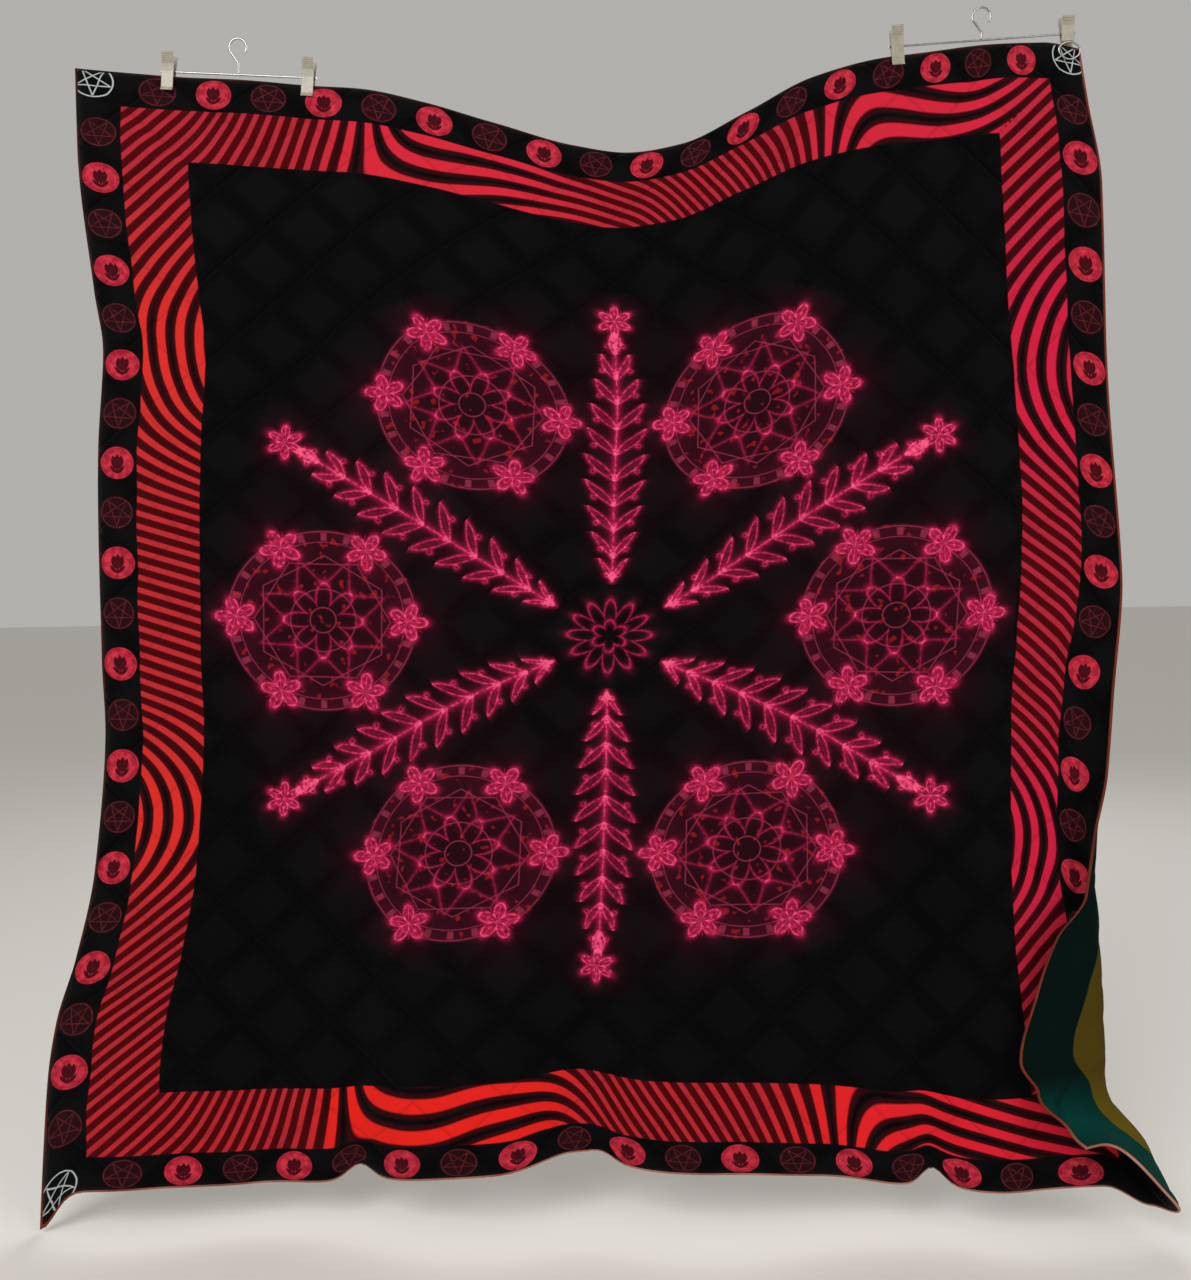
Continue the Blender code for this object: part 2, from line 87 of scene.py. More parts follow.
# Each table: rows of a place along its key, then one value a column
topEdge = (
    (0, 0.038), (0.122, 0.016), (0.318, -0.006), (0.387, -0.014), (0.477, -0.041),
    (0.567, -0.077), (0.686, -0.119), (0.773, -0.133), (0.853, -0.123), (0.96, -0.077),
    (1.06, -0.027), (1.161, -0.001), (1.205, 0.004), (1.46, 0.014), (1.524, 0.003),
)
topLine = ((0.0, 0.022), (1.524, 0.012))
hemLine = (
    (0, -1.6), (0.145, -1.592), (0.27, -1.598), (0.4, -1.597), (0.49, -1.583),
    (0.62, -1.57), (0.76, -1.57), (0.93, -1.567), (1.06, -1.58), (1.22, -1.596),
    (1.44, -1.589), (1.485, -1.616), (1.524, -1.63),
)
leftEdge = (
    (0, -0.8005), (0.14, -0.7995), (0.38, -0.7785), (0.48, -0.7665), (0.64, -0.7725),
    (0.96, -0.7605), (1.085, -0.752), (1.28, -0.7615), (1.42, -0.7845), (1.52, -0.8105),
    (1.6, -0.8195), (1.778, -0.8245),
)
insideLine = (
    (0, 0.5578), (0.2, 0.5628), (0.7, 0.5828), (1.1, 0.5523), (1.38, 0.5443),
    (1.55, 0.5523), (1.778, 0.5592),
)
# across, drift at the top, drift at the hem
driftTable = (
    (0, 0, 0), (0.16, 0.033, 0.022), (0.34, 0.047, 0.016), (0.49, 0.061, 0.021),
    (0.65, 0.071, 0.028), (0.8, 0.066, 0.024), (0.95, 0.052, 0.021), (1.11, 0.04, 0.024),
    (1.26, 0.025, 0.014), (1.365, 0, 0),
)
# down, slack beside the left edge, slack beside the right edge
slackTable = (
    (0, 0, 0), (0.186, 0.01, 0.008), (0.34, 0.014, -0.003), (0.5, 0.015, -0.011),
    (0.65, 0.01, -0.017), (0.81, 0.003, -0.02), (1.12, -0.009, -0.02), (1.28, -0.012, -0.018),
    (1.43, -0.008, -0.017), (1.628, -0.007, -0.016), (1.7, -0.009, -0.014), (1.778, 0, 0),
)
# down, outline, bend radius, turn in degrees, flap, corner lift, share of the print before the bend
rightEdge = (
    (0, 0.687, 0.06, 0, 0, 0, 1),
    (0.09, 0.6985, 0.06, 0, 0, 0, 1),
    (0.22, 0.7175, 0.06, 0, 0, 0, 1),
    (0.53, 0.7235, 0.06, 0, 0, 0, 1),
    (0.8, 0.7315, 0.05, 10, 0, 0, 0.953),
    (1.01, 0.7035, 0.038, 55, 0, 0, 0.906),
    (1.11, 0.686, 0.028, 92, 0, 0, 0.887),
    (1.21, 0.666, 0.021, 138, 0, 0, 0.84),
    (1.29, 0.6605, 0.019, 160, 0.005, 0, 0.812),
    (1.35, 0.662, 0.018, 170, 0.048, 0, 0.775),
    (1.43, 0.6625, 0.018, 173, 0.079, 0, 0.737),
    (1.525, 0.659, 0.019, 173, 0.103, 0, 0.7),
    (1.58, 0.658, 0.02, 173, 0.08, 0.01, 0.681),
    (1.67, 0.705, 0.025, 170, 0.096, 0.058, 0.681),
    (1.778, 0.742, 0.031, 168, 0.117, 0.13, 0.737),
)
# across, spread, then forward at top, middle and hem
foldTable = (
    (0.1, 0.09, 0, 0.01, 0.018), (0.32, 0.09, 0, -0.012, -0.022),
    (0.429, 0.045, 0, 0, -0.02), (0.6, 0.11, 0.004, 0.014, 0.022),
    (0.735, 0.07, 0, -0.01, -0.03), (0.92, 0.11, 0.006, 0.012, 0.018),
    (1.1, 0.09, 0, -0.012, -0.014), (1.22, 0.04, 0, 0, -0.02),
    (1.33, 0.07, 0, 0.008, 0.014),
)
# across, spread, rise, reach upward
hemLifts = (
    (0, 0.028, -0.055, 0.08), (0.429, 0.024, 0.022, 0.06), (0.715, 0.06, 0.016, 0.17),
    (0.762, 0.022, 0.009, 0.05), (1.22, 0.021, 0.022, 0.06),
)
# start, end, forward
topBulges = (
    (-0.15, 0.122, -0.01), (0.122, 0.318, 0.006), (0.318, 1.205, 0.032), (1.205, 1.489, 0.006),
)


# Value of a table's column at places along its key, on a curve that never overshoots
def smoothValue(rows, column, at):
    values = np.array(rows)
    keys = values[:, 0]
    values = values[:, column]
    steps = np.diff(keys)
    slopes = np.diff(values) / steps
    product = slopes[:-1] * slopes[1:]
    total = np.where(product > 0, slopes[:-1] + slopes[1:], 1.0)
    between = np.where(product > 0, 2 * product / total, 0.0)
    tangents = np.concatenate((slopes[:1], between, slopes[-1:]))
    at = np.clip(at, keys[0], keys[-1])
    first = np.clip(np.searchsorted(keys, at, side="right") - 1, 0, len(keys) - 2)
    part = (at - keys[first]) / steps[first]
    rest = 1 - part
    start = values[first] * (1 + 2 * part) * rest ** 2
    end = values[first + 1] * part ** 2 * (3 - 2 * part)
    leave = tangents[first] * steps[first] * part * rest ** 2
    return start + end + leave - tangents[first + 1] * steps[first] * part ** 2 * rest


def ease(share):
    share = np.clip(share, 0.0, 1.0)
    return share * share * (3 - 2 * share)


def bell(distance, spread):
    return np.exp(-((distance / spread) ** 2))


# How far the sheet stands toward the viewer
def forwardDepth(across, down):
    share = down / length
    reach = np.maximum(0.0, (share - quilt["leanStart"]) / (1 - quilt["leanStart"]))
    depth = quilt["lean"] * reach ** quilt["leanPower"]
    for place, spread, top, middle, hem in foldTable:
        upper = top + (middle - top) * ease(share * 2)
        lower = middle + (hem - middle) * ease(share * 2 - 1)
        depth = depth + np.where(share < 0.5, upper, lower) * bell(across - place, spread)
    for start, end, forward in topBulges:
        place = np.clip((across - start) / (end - start), 0.0, 1.0)
        depth = depth + forward * np.sin(np.pi * place) ** 2 * (1 - share) ** quilt["bulgeFade"]
    return depth


# Height before the roll lifts it
def hangHeight(across, down):
    share = down / length
    line = smoothValue(topLine, 1, across)
    sag = smoothValue(topEdge, 1, across) - line
    hem = smoothValue(hemLine, 1, across)
    height = line + (hem - line) * share + sag * (1 - share) ** quilt["swagFade"]
    for place, spread, rise, reach in hemLifts:
        fade = np.exp(-(length - down) / reach)
        height = height + rise * fade * bell(across - place, spread)
    left = smoothValue(slackTable, 1, down)
    right = smoothValue(slackTable, 2, down)
    return height + left + (right - left) * across / width - quilt["clipLineDrop"]


# Lengths of the rolled border: flat run, bend and flap
def rollLengths(down):
    inside = smoothValue(insideLine, 1, down)
    radius = smoothValue(rightEdge, 2, down)
    turn = np.radians(smoothValue(rightEdge, 3, down))
    flap = smoothValue(rightEdge, 4, down)
    bulge = radius * np.sin(np.minimum(turn, np.pi / 2))
    flatRun = smoothValue(rightEdge, 1, down) - inside - bulge
    return inside, radius, turn, flatRun, radius * turn, flap


# Points of the sheet. In the border, ahead is the way from its inner line; elsewhere it is negative
def sheetPoints(across, down, ahead):
    left = smoothValue(leftEdge, 1, down)
    inside, radius, turn, flatRun, bend, flap = rollLengths(down)
    share = down / length
    drift = smoothValue(driftTable, 1, across) * (1 - share) ** quilt["driftFade"]
    drift = drift + smoothValue(driftTable, 2, across) * share ** quilt["driftFade"]
    plain = left + (inside - left) * across / quilt["rollFrom"] + drift
    past = np.maximum(ahead - flatRun, 0.0)
    angle = np.minimum(turn, past / radius)
    straight = np.maximum(past - bend, 0.0)
    rolled = inside + np.minimum(ahead, flatRun) + radius * np.sin(angle) + straight * np.cos(angle)
    side = np.where(ahead < 0, plain, rolled)
    curl = radius * (1 - np.cos(angle)) + straight * np.sin(angle)
    forward = forwardDepth(across, down) + np.where(ahead < 0, 0, curl)
    wrapped = np.clip(past / np.maximum(bend + flap, least), 0.0, 1.0)
    raised = ease((wrapped - quilt["liftStart"]) / quilt["liftSpan"])
    lift = smoothValue(rightEdge, 5, down) * raised
    height = hangHeight(across, down) + np.where(ahead < 0, 0, lift)
    return np.stack((side, -forward, height), axis=-1)


# Flat place of a share of the border's real width, and its way from the inner line
def borderPlace(share, down):
    flatRun, bend, flap = rollLengths(down)[3:]
    held = smoothValue(rightEdge, 6, down)
    whole = flatRun + bend + flap
    ahead = share * whole
    border = width - quilt["rollFrom"]
    spare = np.maximum((1 - held) * border, least)
    fromEdge = whole - ahead
    eased = 4 * (bend + flap - spare) * fromEdge / spare ** 2
    bent = width - 2 * fromEdge / (1 + np.sqrt(np.maximum(1 + eased, 0.0)))
    flat = quilt["rollFrom"] + held * border * ahead / np.maximum(flatRun, least)
    across = np.where(ahead <= flatRun, flat, bent)
    printed = quilt["rollFrom"] + held * border + (ahead - flatRun)
    return across, ahead, np.where(ahead <= flatRun, flat, printed)


# The whole grid of the sheet: flat places, print places, points and normals
def sheetGrid(trim):
    down = np.linspace(trim, length - trim, quilt["rows"] + 1)[:, None]
    plain = np.linspace(trim, quilt["rollFrom"], quilt["columns"] + 1)[None, :]
    border = np.linspace(0, 1, quilt["rollColumns"] + 1)[None, 1:]
    whole = sum(rollLengths(down)[3:])
    border = border * (1 - trim / whole)
    rolledAcross, rolledAhead, rolledPrint = borderPlace(border, down)
    plainWide = np.broadcast_to(plain, (len(down), plain.shape[1]))
    across = np.concatenate((plainWide, rolledAcross), axis=1)
    printed = np.concatenate((plainWide, rolledPrint), axis=1)
    ahead = np.concatenate((np.full(plainWide.shape, -1.0), rolledAhead), axis=1)
    downWide = np.broadcast_to(down, across.shape)
    points = sheetPoints(across, downWide, ahead)
    sideways = np.gradient(points, axis=1)
    downward = np.gradient(points, axis=0)
    normals = np.cross(downward, sideways)
    normals /= np.linalg.norm(normals, axis=-1, keepdims=True)
    return across, downWide, printed, points, normals


# One at the middle of a sewn diamond, nought on its lines
def padFullness(across, down):
    fullness = np.ones(across.shape)
    for line in (across + down, across - down):
        share = line / quilt["diamond"] % 1.0
        fullness = fullness * 4 * share * (1 - share)
    return np.sqrt(fullness)


# Small puckers that run off the sewn lines, and soft dents of handled cloth
puckers = {
    "seam": 0.00035,
    "dent": 0.0011,
    "pad": 0.5,
    "ripples": ((310, 4, 37), (270, 3, 41)),
    "dents": ((23, 2.1, 11, 1), (19, 1.7, 9)),
    "slant": (47, 39),
    "slantBend": (1, 2, 17),
    "slantShare": 0.5,
}


# A wave along one way, pushed to and fro by a second wave across it
def bentWave(along, beside, rate, push, pushRate, shift=0):
    return np.sin(along * rate + push * np.sin(beside * pushRate + shift))


def puckerHeight(across, down):
    first, second = puckers["ripples"]
    ripple = bentWave(across, down, *first) * bentWave(down, across, *second)
    first, second = puckers["dents"]
    dents = bentWave(across, down, *first) * bentWave(down, across, *second)
    slant = across * puckers["slant"][0] - down * puckers["slant"][1]
    dents = dents + puckers["slantShare"] * bentWave(slant, down, *puckers["slantBend"])
    return puckers["seam"] * ripple * (1 - padFullness(across, down)) + puckers["dent"] * dents


# A colour code in linear light, by the sRGB rule
def linear(code):
    parts = np.array([int(code[place:place + 2], 16) / 255 for place in (1, 3, 5)])
    light = np.where(parts <= 0.04045, parts / 12.92, ((parts + 0.055) / 1.055) ** 2.4)
    return [*light.tolist(), 1.0]


def addNode(tree, kind, inputs=(), output=0, **settings):
    node = tree.nodes.new("ShaderNode" + kind)
    for name, value in settings.items():
        setattr(node, name, value)
    for key, value in inputs.items() if isinstance(inputs, dict) else enumerate(inputs):
        if isinstance(value, Field):
            value = value.socket
        if isinstance(value, bpy.types.NodeSocket):
            tree.links.new(value, node.inputs[key])
        else:
            node.inputs[key].default_value = value
    return Field(tree, node.outputs[output])


# A value in a material's nodes, so that a pattern can be written as a sum
class Field:
    def __init__(self, tree, socket):
        self.tree = tree
        self.socket = socket

    def calc(self, operation, *others, clamp=False):
        return addNode(self.tree, "Math", (self, *others), operation=operation, use_clamp=clamp)

    def __add__(self, other):
        return self.calc("ADD", other)

    def __sub__(self, other):
        return self.calc("SUBTRACT", other)

    def __mul__(self, other):
        return self.calc("MULTIPLY", other)

    __radd__ = __add__
    __rmul__ = __mul__

    def __rsub__(self, other):
        return addNode(self.tree, "Math", (float(other), self), operation="SUBTRACT")

    def __abs__(self):
        return self.calc("ABSOLUTE")

    def __truediv__(self, number):
        return self * (1 / number)

    def sine(self):
        return self.calc("SINE")

    def cosine(self):
        return self.calc("COSINE")

    def over(self, edge):
        return self.calc("GREATER_THAN", edge)

    # Rises from nought to one at this rate, moved by the shift
    def ramp(self, rate, shift=0.0):
        return self.calc("MULTIPLY_ADD", rate, shift, clamp=True)

    # One where the field is under the edge, nought over it
    def below(self, edge, soft):
        if isinstance(edge, Field):
            return ((edge - self) / soft).calc("ADD", 0.5, clamp=True)
        return self.calc("MULTIPLY_ADD", -1 / soft, edge / soft + 0.5, clamp=True)

    # One on a line of this half width round the field's nought
    def line(self, half, soft):
        return abs(self).below(half, soft)

    # The share of a repeat, from minus a half to a half
    def repeat(self, pitch):
        return (self / pitch).calc("ADD", 0.5).calc("FRACT") - 0.5

    def spread(self, share, base):
        return self * share + base

    def glow(self, reach, strength=1.0):
        return (abs(self) * (-1 / reach)).calc("EXPONENT") * strength


# Soft unevenness over the flat cloth
def addNoise(tree, place, scale, detail):
    inputs = {"Vector": place, "Scale": scale, "Detail": detail}
    return addNode(tree, "TexNoise", inputs, noise_dimensions="2D")


def root(first, second):
    return (first * first + second * second).calc("SQRT")


def paint(ground, colour, mask):
    inputs = {0: mask, 6: ground, 7: linear(colour) if isinstance(colour, str) else colour}
    return addNode(mask.tree, "Mix", inputs, output=2, data_type="RGBA", clamp_factor=True)


def newMaterial(name, **values):
    made = bpy.data.materials.new(name)
    made.use_nodes = True
    shader = made.node_tree.nodes["Principled BSDF"]
    for key, value in values.items():
        shader.inputs[key.replace("_", " ")].default_value = value
    return made, made.node_tree, shader


# Joins a colour, a relief or a roughness to its material
def dress(tree, shader, **fields):
    for key, field in fields.items():
        tree.links.new(field.socket, shader.inputs[key.replace("_", " ")])


# A value stored on the mesh
def stored(tree, name):
    return addNode(tree, "Attribute", output=2, attribute_name=name)


# Flat place on the cloth in metres, from its own map
def clothPlace(tree, layer):
    place = addNode(tree, "UVMap", uv_map=layer)
    across = addNode(tree, "SeparateXYZ", (place,))
    return place, across, Field(tree, across.socket.node.outputs[1])


# The print's measures in metres
design = {
    "roundelBand": 0.06,
    "stripeBand": 0.15,
    "bandSpare": 0.002,
    "bandSoft": 0.0012,
    "middle": 0.03,
    "artReach": 0.612,
    "acrossPitch": (width - 0.06) / 19,
    "downPitch": (length - 0.06) / 22,
    "discRadius": 0.0252,
    "discRing": 0.0222,
    "starRadius": 0.0215,
    "ringRadius": 0.0232,
    "cornerOut": (0.006, 0.009),
    "cornerShare": 0.86,
}


# Six rosettes round a small one with leafy sprays between them, as glowing line work
rosettes = {
    "count": 6,
    "reach": 0.43,
    "radius": 0.145,
    "blossomReach": 0.13,
    "sprayStart": 0.095,
    "sprayEnd": 0.545,
    "tip": 0.566,
    "leafPitch": 0.046,
    "core": 0.003,
    "halo": 0.013,
    "rimGlow": 0.022,
    "rings": ((0.142, 0.001), (0.125, 0.0008), (0.05, 0.001), (0.02, 0.001)),
    "fine": 0.0012,
    "ticks": {"at": 0.1335, "half": 0.0062, "count": 24, "wide": 0.13},
    "lattice": {"at": 0.09, "half": 0.0009, "inside": 0.125},
    "innerRow": (0.034, 0.026),
    "outerRow": (0.04, 0.06),
    "rimBlossom": (5, 0.01, 0.02),
    "tipBlossom": (6, 0.009, 0.017),
    "leaf": {"belly": 0.0095, "sweep": 0.046, "share": 0.6},
    "berry": {"at": 0.35, "aside": 0.034, "radius": 0.0032},
    "sprayHalf": 0.058,
    "middle": (0.03, 0.034),
    "middleRing": (0.012, 0.016),
    "thread": (170.0, 3.0),
    "specks": (62.0, 1.0),
}

# A blossom's lines: reach and strength of their glow, and its inner row as shares of the outer
blossoms = {
    "outline": (0.0032, 1.05),
    "inner": (0.002, 0.55),
    "vein": (0.0022, 0.8),
    "fill": 0.34,
    "innerLobe": 0.45,
    "innerLeast": 0.7,
    "veinLobe": 0.8,
}


# A blossom of rounded petals: how strongly its lines glow, and the distance from its heart
def blossomArt(along, beside, petals, heart, lobe):
    b = root(along, beside)
    turn = beside.calc("ARCTAN2", along)
    reach = abs((turn * (petals / 2)).cosine())
    outline = b - (reach * lobe + heart)
    inner = b - (reach * lobe * blossoms["innerLobe"] + heart * blossoms["innerLeast"])
    vein = (turn * petals).sine() * b
    glow = outline.glow(*blossoms["outline"]) + inner.glow(*blossoms["inner"])
    glow = glow + outline.below(0.0, 0.003) * blossoms["fill"]
    inside = b.below(heart + lobe * blossoms["veinLobe"], 0.004)
    return glow + vein.glow(*blossoms["vein"]) * inside, b


def rosetteArt(tree, place, u, v, ground):
    form = rosettes
    sixth = 2 * math.pi / form["count"]
    core, radius = form["core"], form["radius"]
    x = u - width / 2
    y = v - length / 2
    r = root(x, y)
    angle = y.calc("ARCTAN2", x)
    turn = angle.repeat(sixth) * sixth
    along = r * turn.cosine() - form["reach"]
    beside = r * turn.sine()
    q = root(along, beside)
    bearing = beside.calc("ARCTAN2", along)
    # Wine disc with faint rings, ticks and a twelve sided lattice
    disc = q.below(radius, 0.003)
    colour = paint(ground, "#20040d", disc * 0.9)
    colour = paint(colour, "#40081a", (q - radius).glow(form["rimGlow"]) * disc * 0.8)
    faint = sum((q - at).line(half, form["fine"]) for at, half in form["rings"])
    tick, lattice = form["ticks"], form["lattice"]
    ticks = bearing.repeat(2 * math.pi / tick["count"]).line(tick["wide"], 0.06)
    ticks = ticks * (q - tick["at"]).line(tick["half"], 0.001)
    inside = q.below(lattice["inside"], 0.002)
    for step in (0, 1):
        fold = (bearing + step * sixth / 2).repeat(sixth) * sixth
        chord = q * fold.cosine() - lattice["at"]
        faint = faint + chord.line(lattice["half"], form["fine"]) * inside
    faint = (faint + ticks).calc("MINIMUM", 1.0)
    colour = paint(colour, "#94304a", faint * disc * 0.62)
    # Glowing petals in two rows, and blossoms on the rim
    petals = abs((bearing * 4).cosine())
    inner = q - petals.spread(*form["innerRow"])
    outer = q - (1 - petals).spread(*form["outerRow"])
    bud = bearing.repeat(sixth) * sixth
    budAlong = q * bud.cosine() - form["blossomReach"]
    blossom, b = blossomArt(budAlong, q * bud.sine(), *form["rimBlossom"])
    glow = inner.glow(core) * 0.8 + outer.glow(core) * 0.5 + blossom
    halo = inner.glow(form["halo"]) * 0.3 + b.glow(0.024) * 1.1
    # Leafy sprays on the lines half way between the rosettes, with berries, each ending in a blossom
    side = sixth / 2 - abs(turn)
    s = r * side.cosine()
    w = r * side.sine()
    share = (s - form["sprayStart"]) / (form["sprayEnd"] - form["sprayStart"])
    inside = share.below(1.0, 0.02) * (0 - share).below(0.0, 0.02)
    size = (share * math.pi).sine().calc("MAXIMUM", 0.0).calc("POWER", form["leaf"]["share"])
    leaf = (s / form["leafPitch"]).calc("FRACT")
    belly = (leaf * math.pi).sine() * size * form["leaf"]["belly"]
    spine = w - leaf * size * form["leaf"]["sweep"]
    edge = abs(spine) - belly
    berry = form["berry"]
    fruit = root((leaf - berry["at"]) * form["leafPitch"], w - size * berry["aside"])
    stem = w.glow(core) * 1.05 + edge.glow(0.0024) + spine.glow(0.0012) * 0.35
    stem = stem + (fruit - berry["radius"]).glow(0.0018) * 0.8
    near = (w - form["sprayHalf"]).below(0.0, 0.006)
    tip, t = blossomArt(s - form["tip"], w, *form["tipBlossom"])
    glow = glow + stem * inside * near + tip
    halo = halo + w.glow(0.02) * inside * size * 0.85 + t.glow(0.018)
    # The small rosette in the middle
    lace = abs((angle * 6).cosine())
    middle = r - lace.spread(*form["middle"])
    ring = r - abs((angle * 3).sine()).spread(*form["middleRing"])
    glow = glow + middle.glow(core) * 0.85 + ring.glow(0.0025) * 0.8
    halo = halo + middle.glow(form["halo"]) * 0.35
    # Broken up like fine thread work
    thread = addNoise(tree, place, *form["thread"])
    broken = thread.ramp(2.8, -0.6)
    glow = glow * (broken * 0.8 + 0.32)
    colour = paint(colour, "#540a26", halo.ramp(0.55))
    colour = paint(colour, "#bc2050", glow.ramp(1.0))
    colour = paint(colour, "#ee5c84", glow.ramp(1.3, -0.95) * 0.8)
    specks = addNoise(tree, place, *form["specks"]).ramp(12.0, -8.0)
    return paint(colour, "#b02020", specks * disc * 0.4)


# A tulip for the bright discs: cup with three points, stem and two leaves
tulip = {
    "shrink": 1.15,
    "cup": {"radius": 0.011, "raised": 0.003, "long": 0.8, "top": 0.0160},
    "points": {"pitch": 0.009, "depth": 0.0130},
    "stem": {"half": 0.0016, "at": 0.013, "reach": 0.0060},
    "leaf": {"foot": 0.0195, "way": (0.66, 0.75), "length": 0.02, "half": 0.0032},
    "soft": 0.0008,
}


def tulipMask(x, y):
    cup, stem, leaf, soft = tulip["cup"], tulip["stem"], tulip["leaf"], tulip["soft"]
    wide = abs(x)
    points = abs(x.repeat(tulip["points"]["pitch"])) * tulip["points"]["depth"]
    bowl = root(x, (y + cup["raised"]) * cup["long"]).below(cup["radius"], 0.001)
    bowl = bowl * (y - points).over(-cup["top"])
    stalk = wide.below(stem["half"], soft) * (y - stem["at"]).line(stem["reach"], 0.001)
    aside, upward = leaf["way"]
    rise = y - leaf["foot"]
    s = (wide * aside - rise * upward) / leaf["length"]
    w = abs(wide * upward + rise * aside)
    blade = (w - (s * math.pi).sine() * leaf["half"]).below(0.0, soft)
    blade = blade * (s - 0.5).line(0.5, 0.01)
    return bowl.calc("MAXIMUM", stalk).calc("MAXIMUM", blade)


# Discs and rings along the outer band, with a tulip on the bright ones and a line star on the rest
def roundelArt(tree, place, u, v, fromSide, fromEnd, ground):
    middle = design["middle"]
    alongTop = ((u - middle) / design["acrossPitch"]).calc("ADD", 0.5)
    downSide = ((v - middle) / design["downPitch"]).calc("ADD", 0.5)
    level = (fromEnd - fromSide).below(0.0, 0.0005)
    upper = (length / 2 - v).calc("SIGN")
    acrossTop = (alongTop.calc("FRACT") - 0.5) * design["acrossPitch"]
    acrossSide = fromSide - middle
    downTop = (fromEnd - middle) * upper
    downAlong = (downSide.calc("FRACT") - 0.5) * design["downPitch"]
    x = acrossSide + (acrossTop - acrossSide) * level
    y = downAlong + (downTop - downAlong) * level
    number = downSide.calc("FLOOR") + (alongTop.calc("FLOOR") - downSide.calc("FLOOR")) * level
    odd = (number * 0.5).calc("FRACT").over(0.25)
    corner = fromSide.calc("MAXIMUM", fromEnd).below(design["roundelBand"], 0.0005)
    # Corner roundels are a little larger and set outward, so the edge cuts them
    square = corner.over(0.5)
    outSide, outEnd = design["cornerOut"]
    x = x + ((acrossSide + outSide) * design["cornerShare"] - x) * square
    y = y + ((fromEnd - middle + outEnd) * upper * design["cornerShare"] - y) * square
    r = root(x, y)
    angle = x.calc("ARCTAN2", 0 - y)
    disc = r.below(design["discRadius"], 0.0012)
    even = (1 - odd) * (1 - corner)
    worn = addNoise(tree, place, 95.0, 3.0).ramp(3.0, -1.1)
    shown = paint(linear("#961a2c"), "#c43040", worn)
    shown = paint(shown, "#c84452", r.below(0.012, 0.012) * 0.25)
    shown = paint(shown, "#6e0f20", (r - design["discRing"]).line(0.0006, 0.001) * 0.6)
    drawn = tulipMask(x * tulip["shrink"], y * tulip["shrink"])
    shown = paint(shown, "#34060d", drawn * (worn * 0.05 + 0.94))
    colour = paint(ground, shown.socket, disc * even)
    # Five crossing lines in a ring
    fifth = 2 * math.pi / 5
    fold = (angle + math.pi / 5).repeat(fifth) * fifth
    star = None
    for step in (-1, 0, 1):
        chord = r * (fold + step * fifth).cosine() - design["starRadius"] * math.cos(fifth)
        drawn = chord.line(0.0007, 0.0009)
        star = drawn if star is None else star.calc("MAXIMUM", drawn)
    star = star * r.below(design["starRadius"], 0.0008)
    ring = (r - design["ringRadius"]).line(0.0008, 0.0009).calc("MAXIMUM", star)
    dim = odd * (1 - corner)
    colour = paint(colour, "#22070b", disc * dim)
    colour = paint(colour, "#6c242c", ring * dim * (worn * 0.4 + 0.34))
    right = u.over(width / 2)
    low = v.over(length / 2)
    return paint(colour, "#aab5b1", ring * corner * (1 - right * low))


# Tones of the striped band, what thin stripes fade to, and where the top's and hem's tones start
stripeTones = {
    "left": "#cc2a20",
    "right": "#c01a3c",
    "top": "#c22236",
    "hem": "#e02016",
    "thin": "#962430",
    "topTo": 0.3,
    "hemFrom": 1.45,
    "hemTurns": 1.02,
    "share": 0.465,
}


def stripeArt(tree, place, u, v, ground):
    tones = stripeTones
    phase = stored(tree, "stripe")
    density = stored(tree, "crowding")
    wave = abs(phase.repeat(1.0)) * 2
    sideways = (u / width).calc("ADD", 0.0, clamp=True)
    tone = paint(linear(tones["left"]), tones["right"], sideways)
    high = (tones["topTo"] - v).ramp(5.0)
    tone = paint(tone, tones["top"], high * 0.8)
    low = (v - tones["hemFrom"]).ramp(5.0)
    tone = paint(tone, tones["hem"], low * 0.85)
    turning = (u - tones["hemTurns"]).ramp(2.6)
    tone = paint(tone, tones["right"], low * turning * 0.55)
    worn = addNoise(tree, place, 60.0, 3.0)
    thin = density.ramp(0.055, -2.0)
    tone = paint(tone, tones["thin"], thin * (worn * 0.5 + 0.5))
    gap = paint(ground, "#34040a", wave.below(0.8, 0.24) * 0.8)
    gap = paint(gap, "#4a0206", thin * 0.85)
    return paint(gap, tone.socket, (wave + thin * 0.05).below(tones["share"], 0.13))


# Printed face of matt woven cotton: no shine, only a faint nap
matt = {"Sheen_Roughness": 0.5, "Specular_IOR_Level": 0.05}


def printedCloth(name, part):
    made, tree, shader = newMaterial(name, Roughness=0.92, Sheen_Weight=0.03, **matt)
    place, u, v = clothPlace(tree, "print")
    seams = seamDistance(u, v)
    # Washed black, with painted shade darker down in the sewn lines than on the crowns of the pads
    wash = addNoise(tree, place, 7.0, 3.0)
    outsideSeamShade = seams.ramp(45.0)
    colour = paint(linear("#010102"), "#09090b", outsideSeamShade * (wash * 0.7 + 0.35))
    if part == "art":
        colour = rosetteArt(tree, place, u, v, colour)
    if part == "bands":
        fromSide = width / 2 - abs(u - width / 2)
        fromEnd = length / 2 - abs(v - length / 2)
        inward = fromSide.calc("MINIMUM", fromEnd)
        stripes = stripeArt(tree, place, u, v, colour)
        outer = roundelArt(tree, place, u, v, fromSide, fromEnd, colour)
        for band, drawn in (("stripeBand", stripes), ("roundelBand", outer)):
            colour = paint(colour, drawn.socket, inward.below(design[band], design["bandSoft"]))
    # Thread in the sewn lines
    colour = paint(colour, "#141011", seams.below(0.0007, 0.0006) * 0.28)
    dress(tree, shader, Base_Color=colour, Normal=clothRelief(tree, place, seams, 1.0))
    return made


# Distance to the nearest sewn line, in metres
def seamDistance(u, v):
    scale = quilt["diamond"] / math.sqrt(2)
    rising, falling = (abs(line.repeat(quilt["diamond"])) for line in (u + v, u - v))
    return rising.calc("MINIMUM", falling) * scale
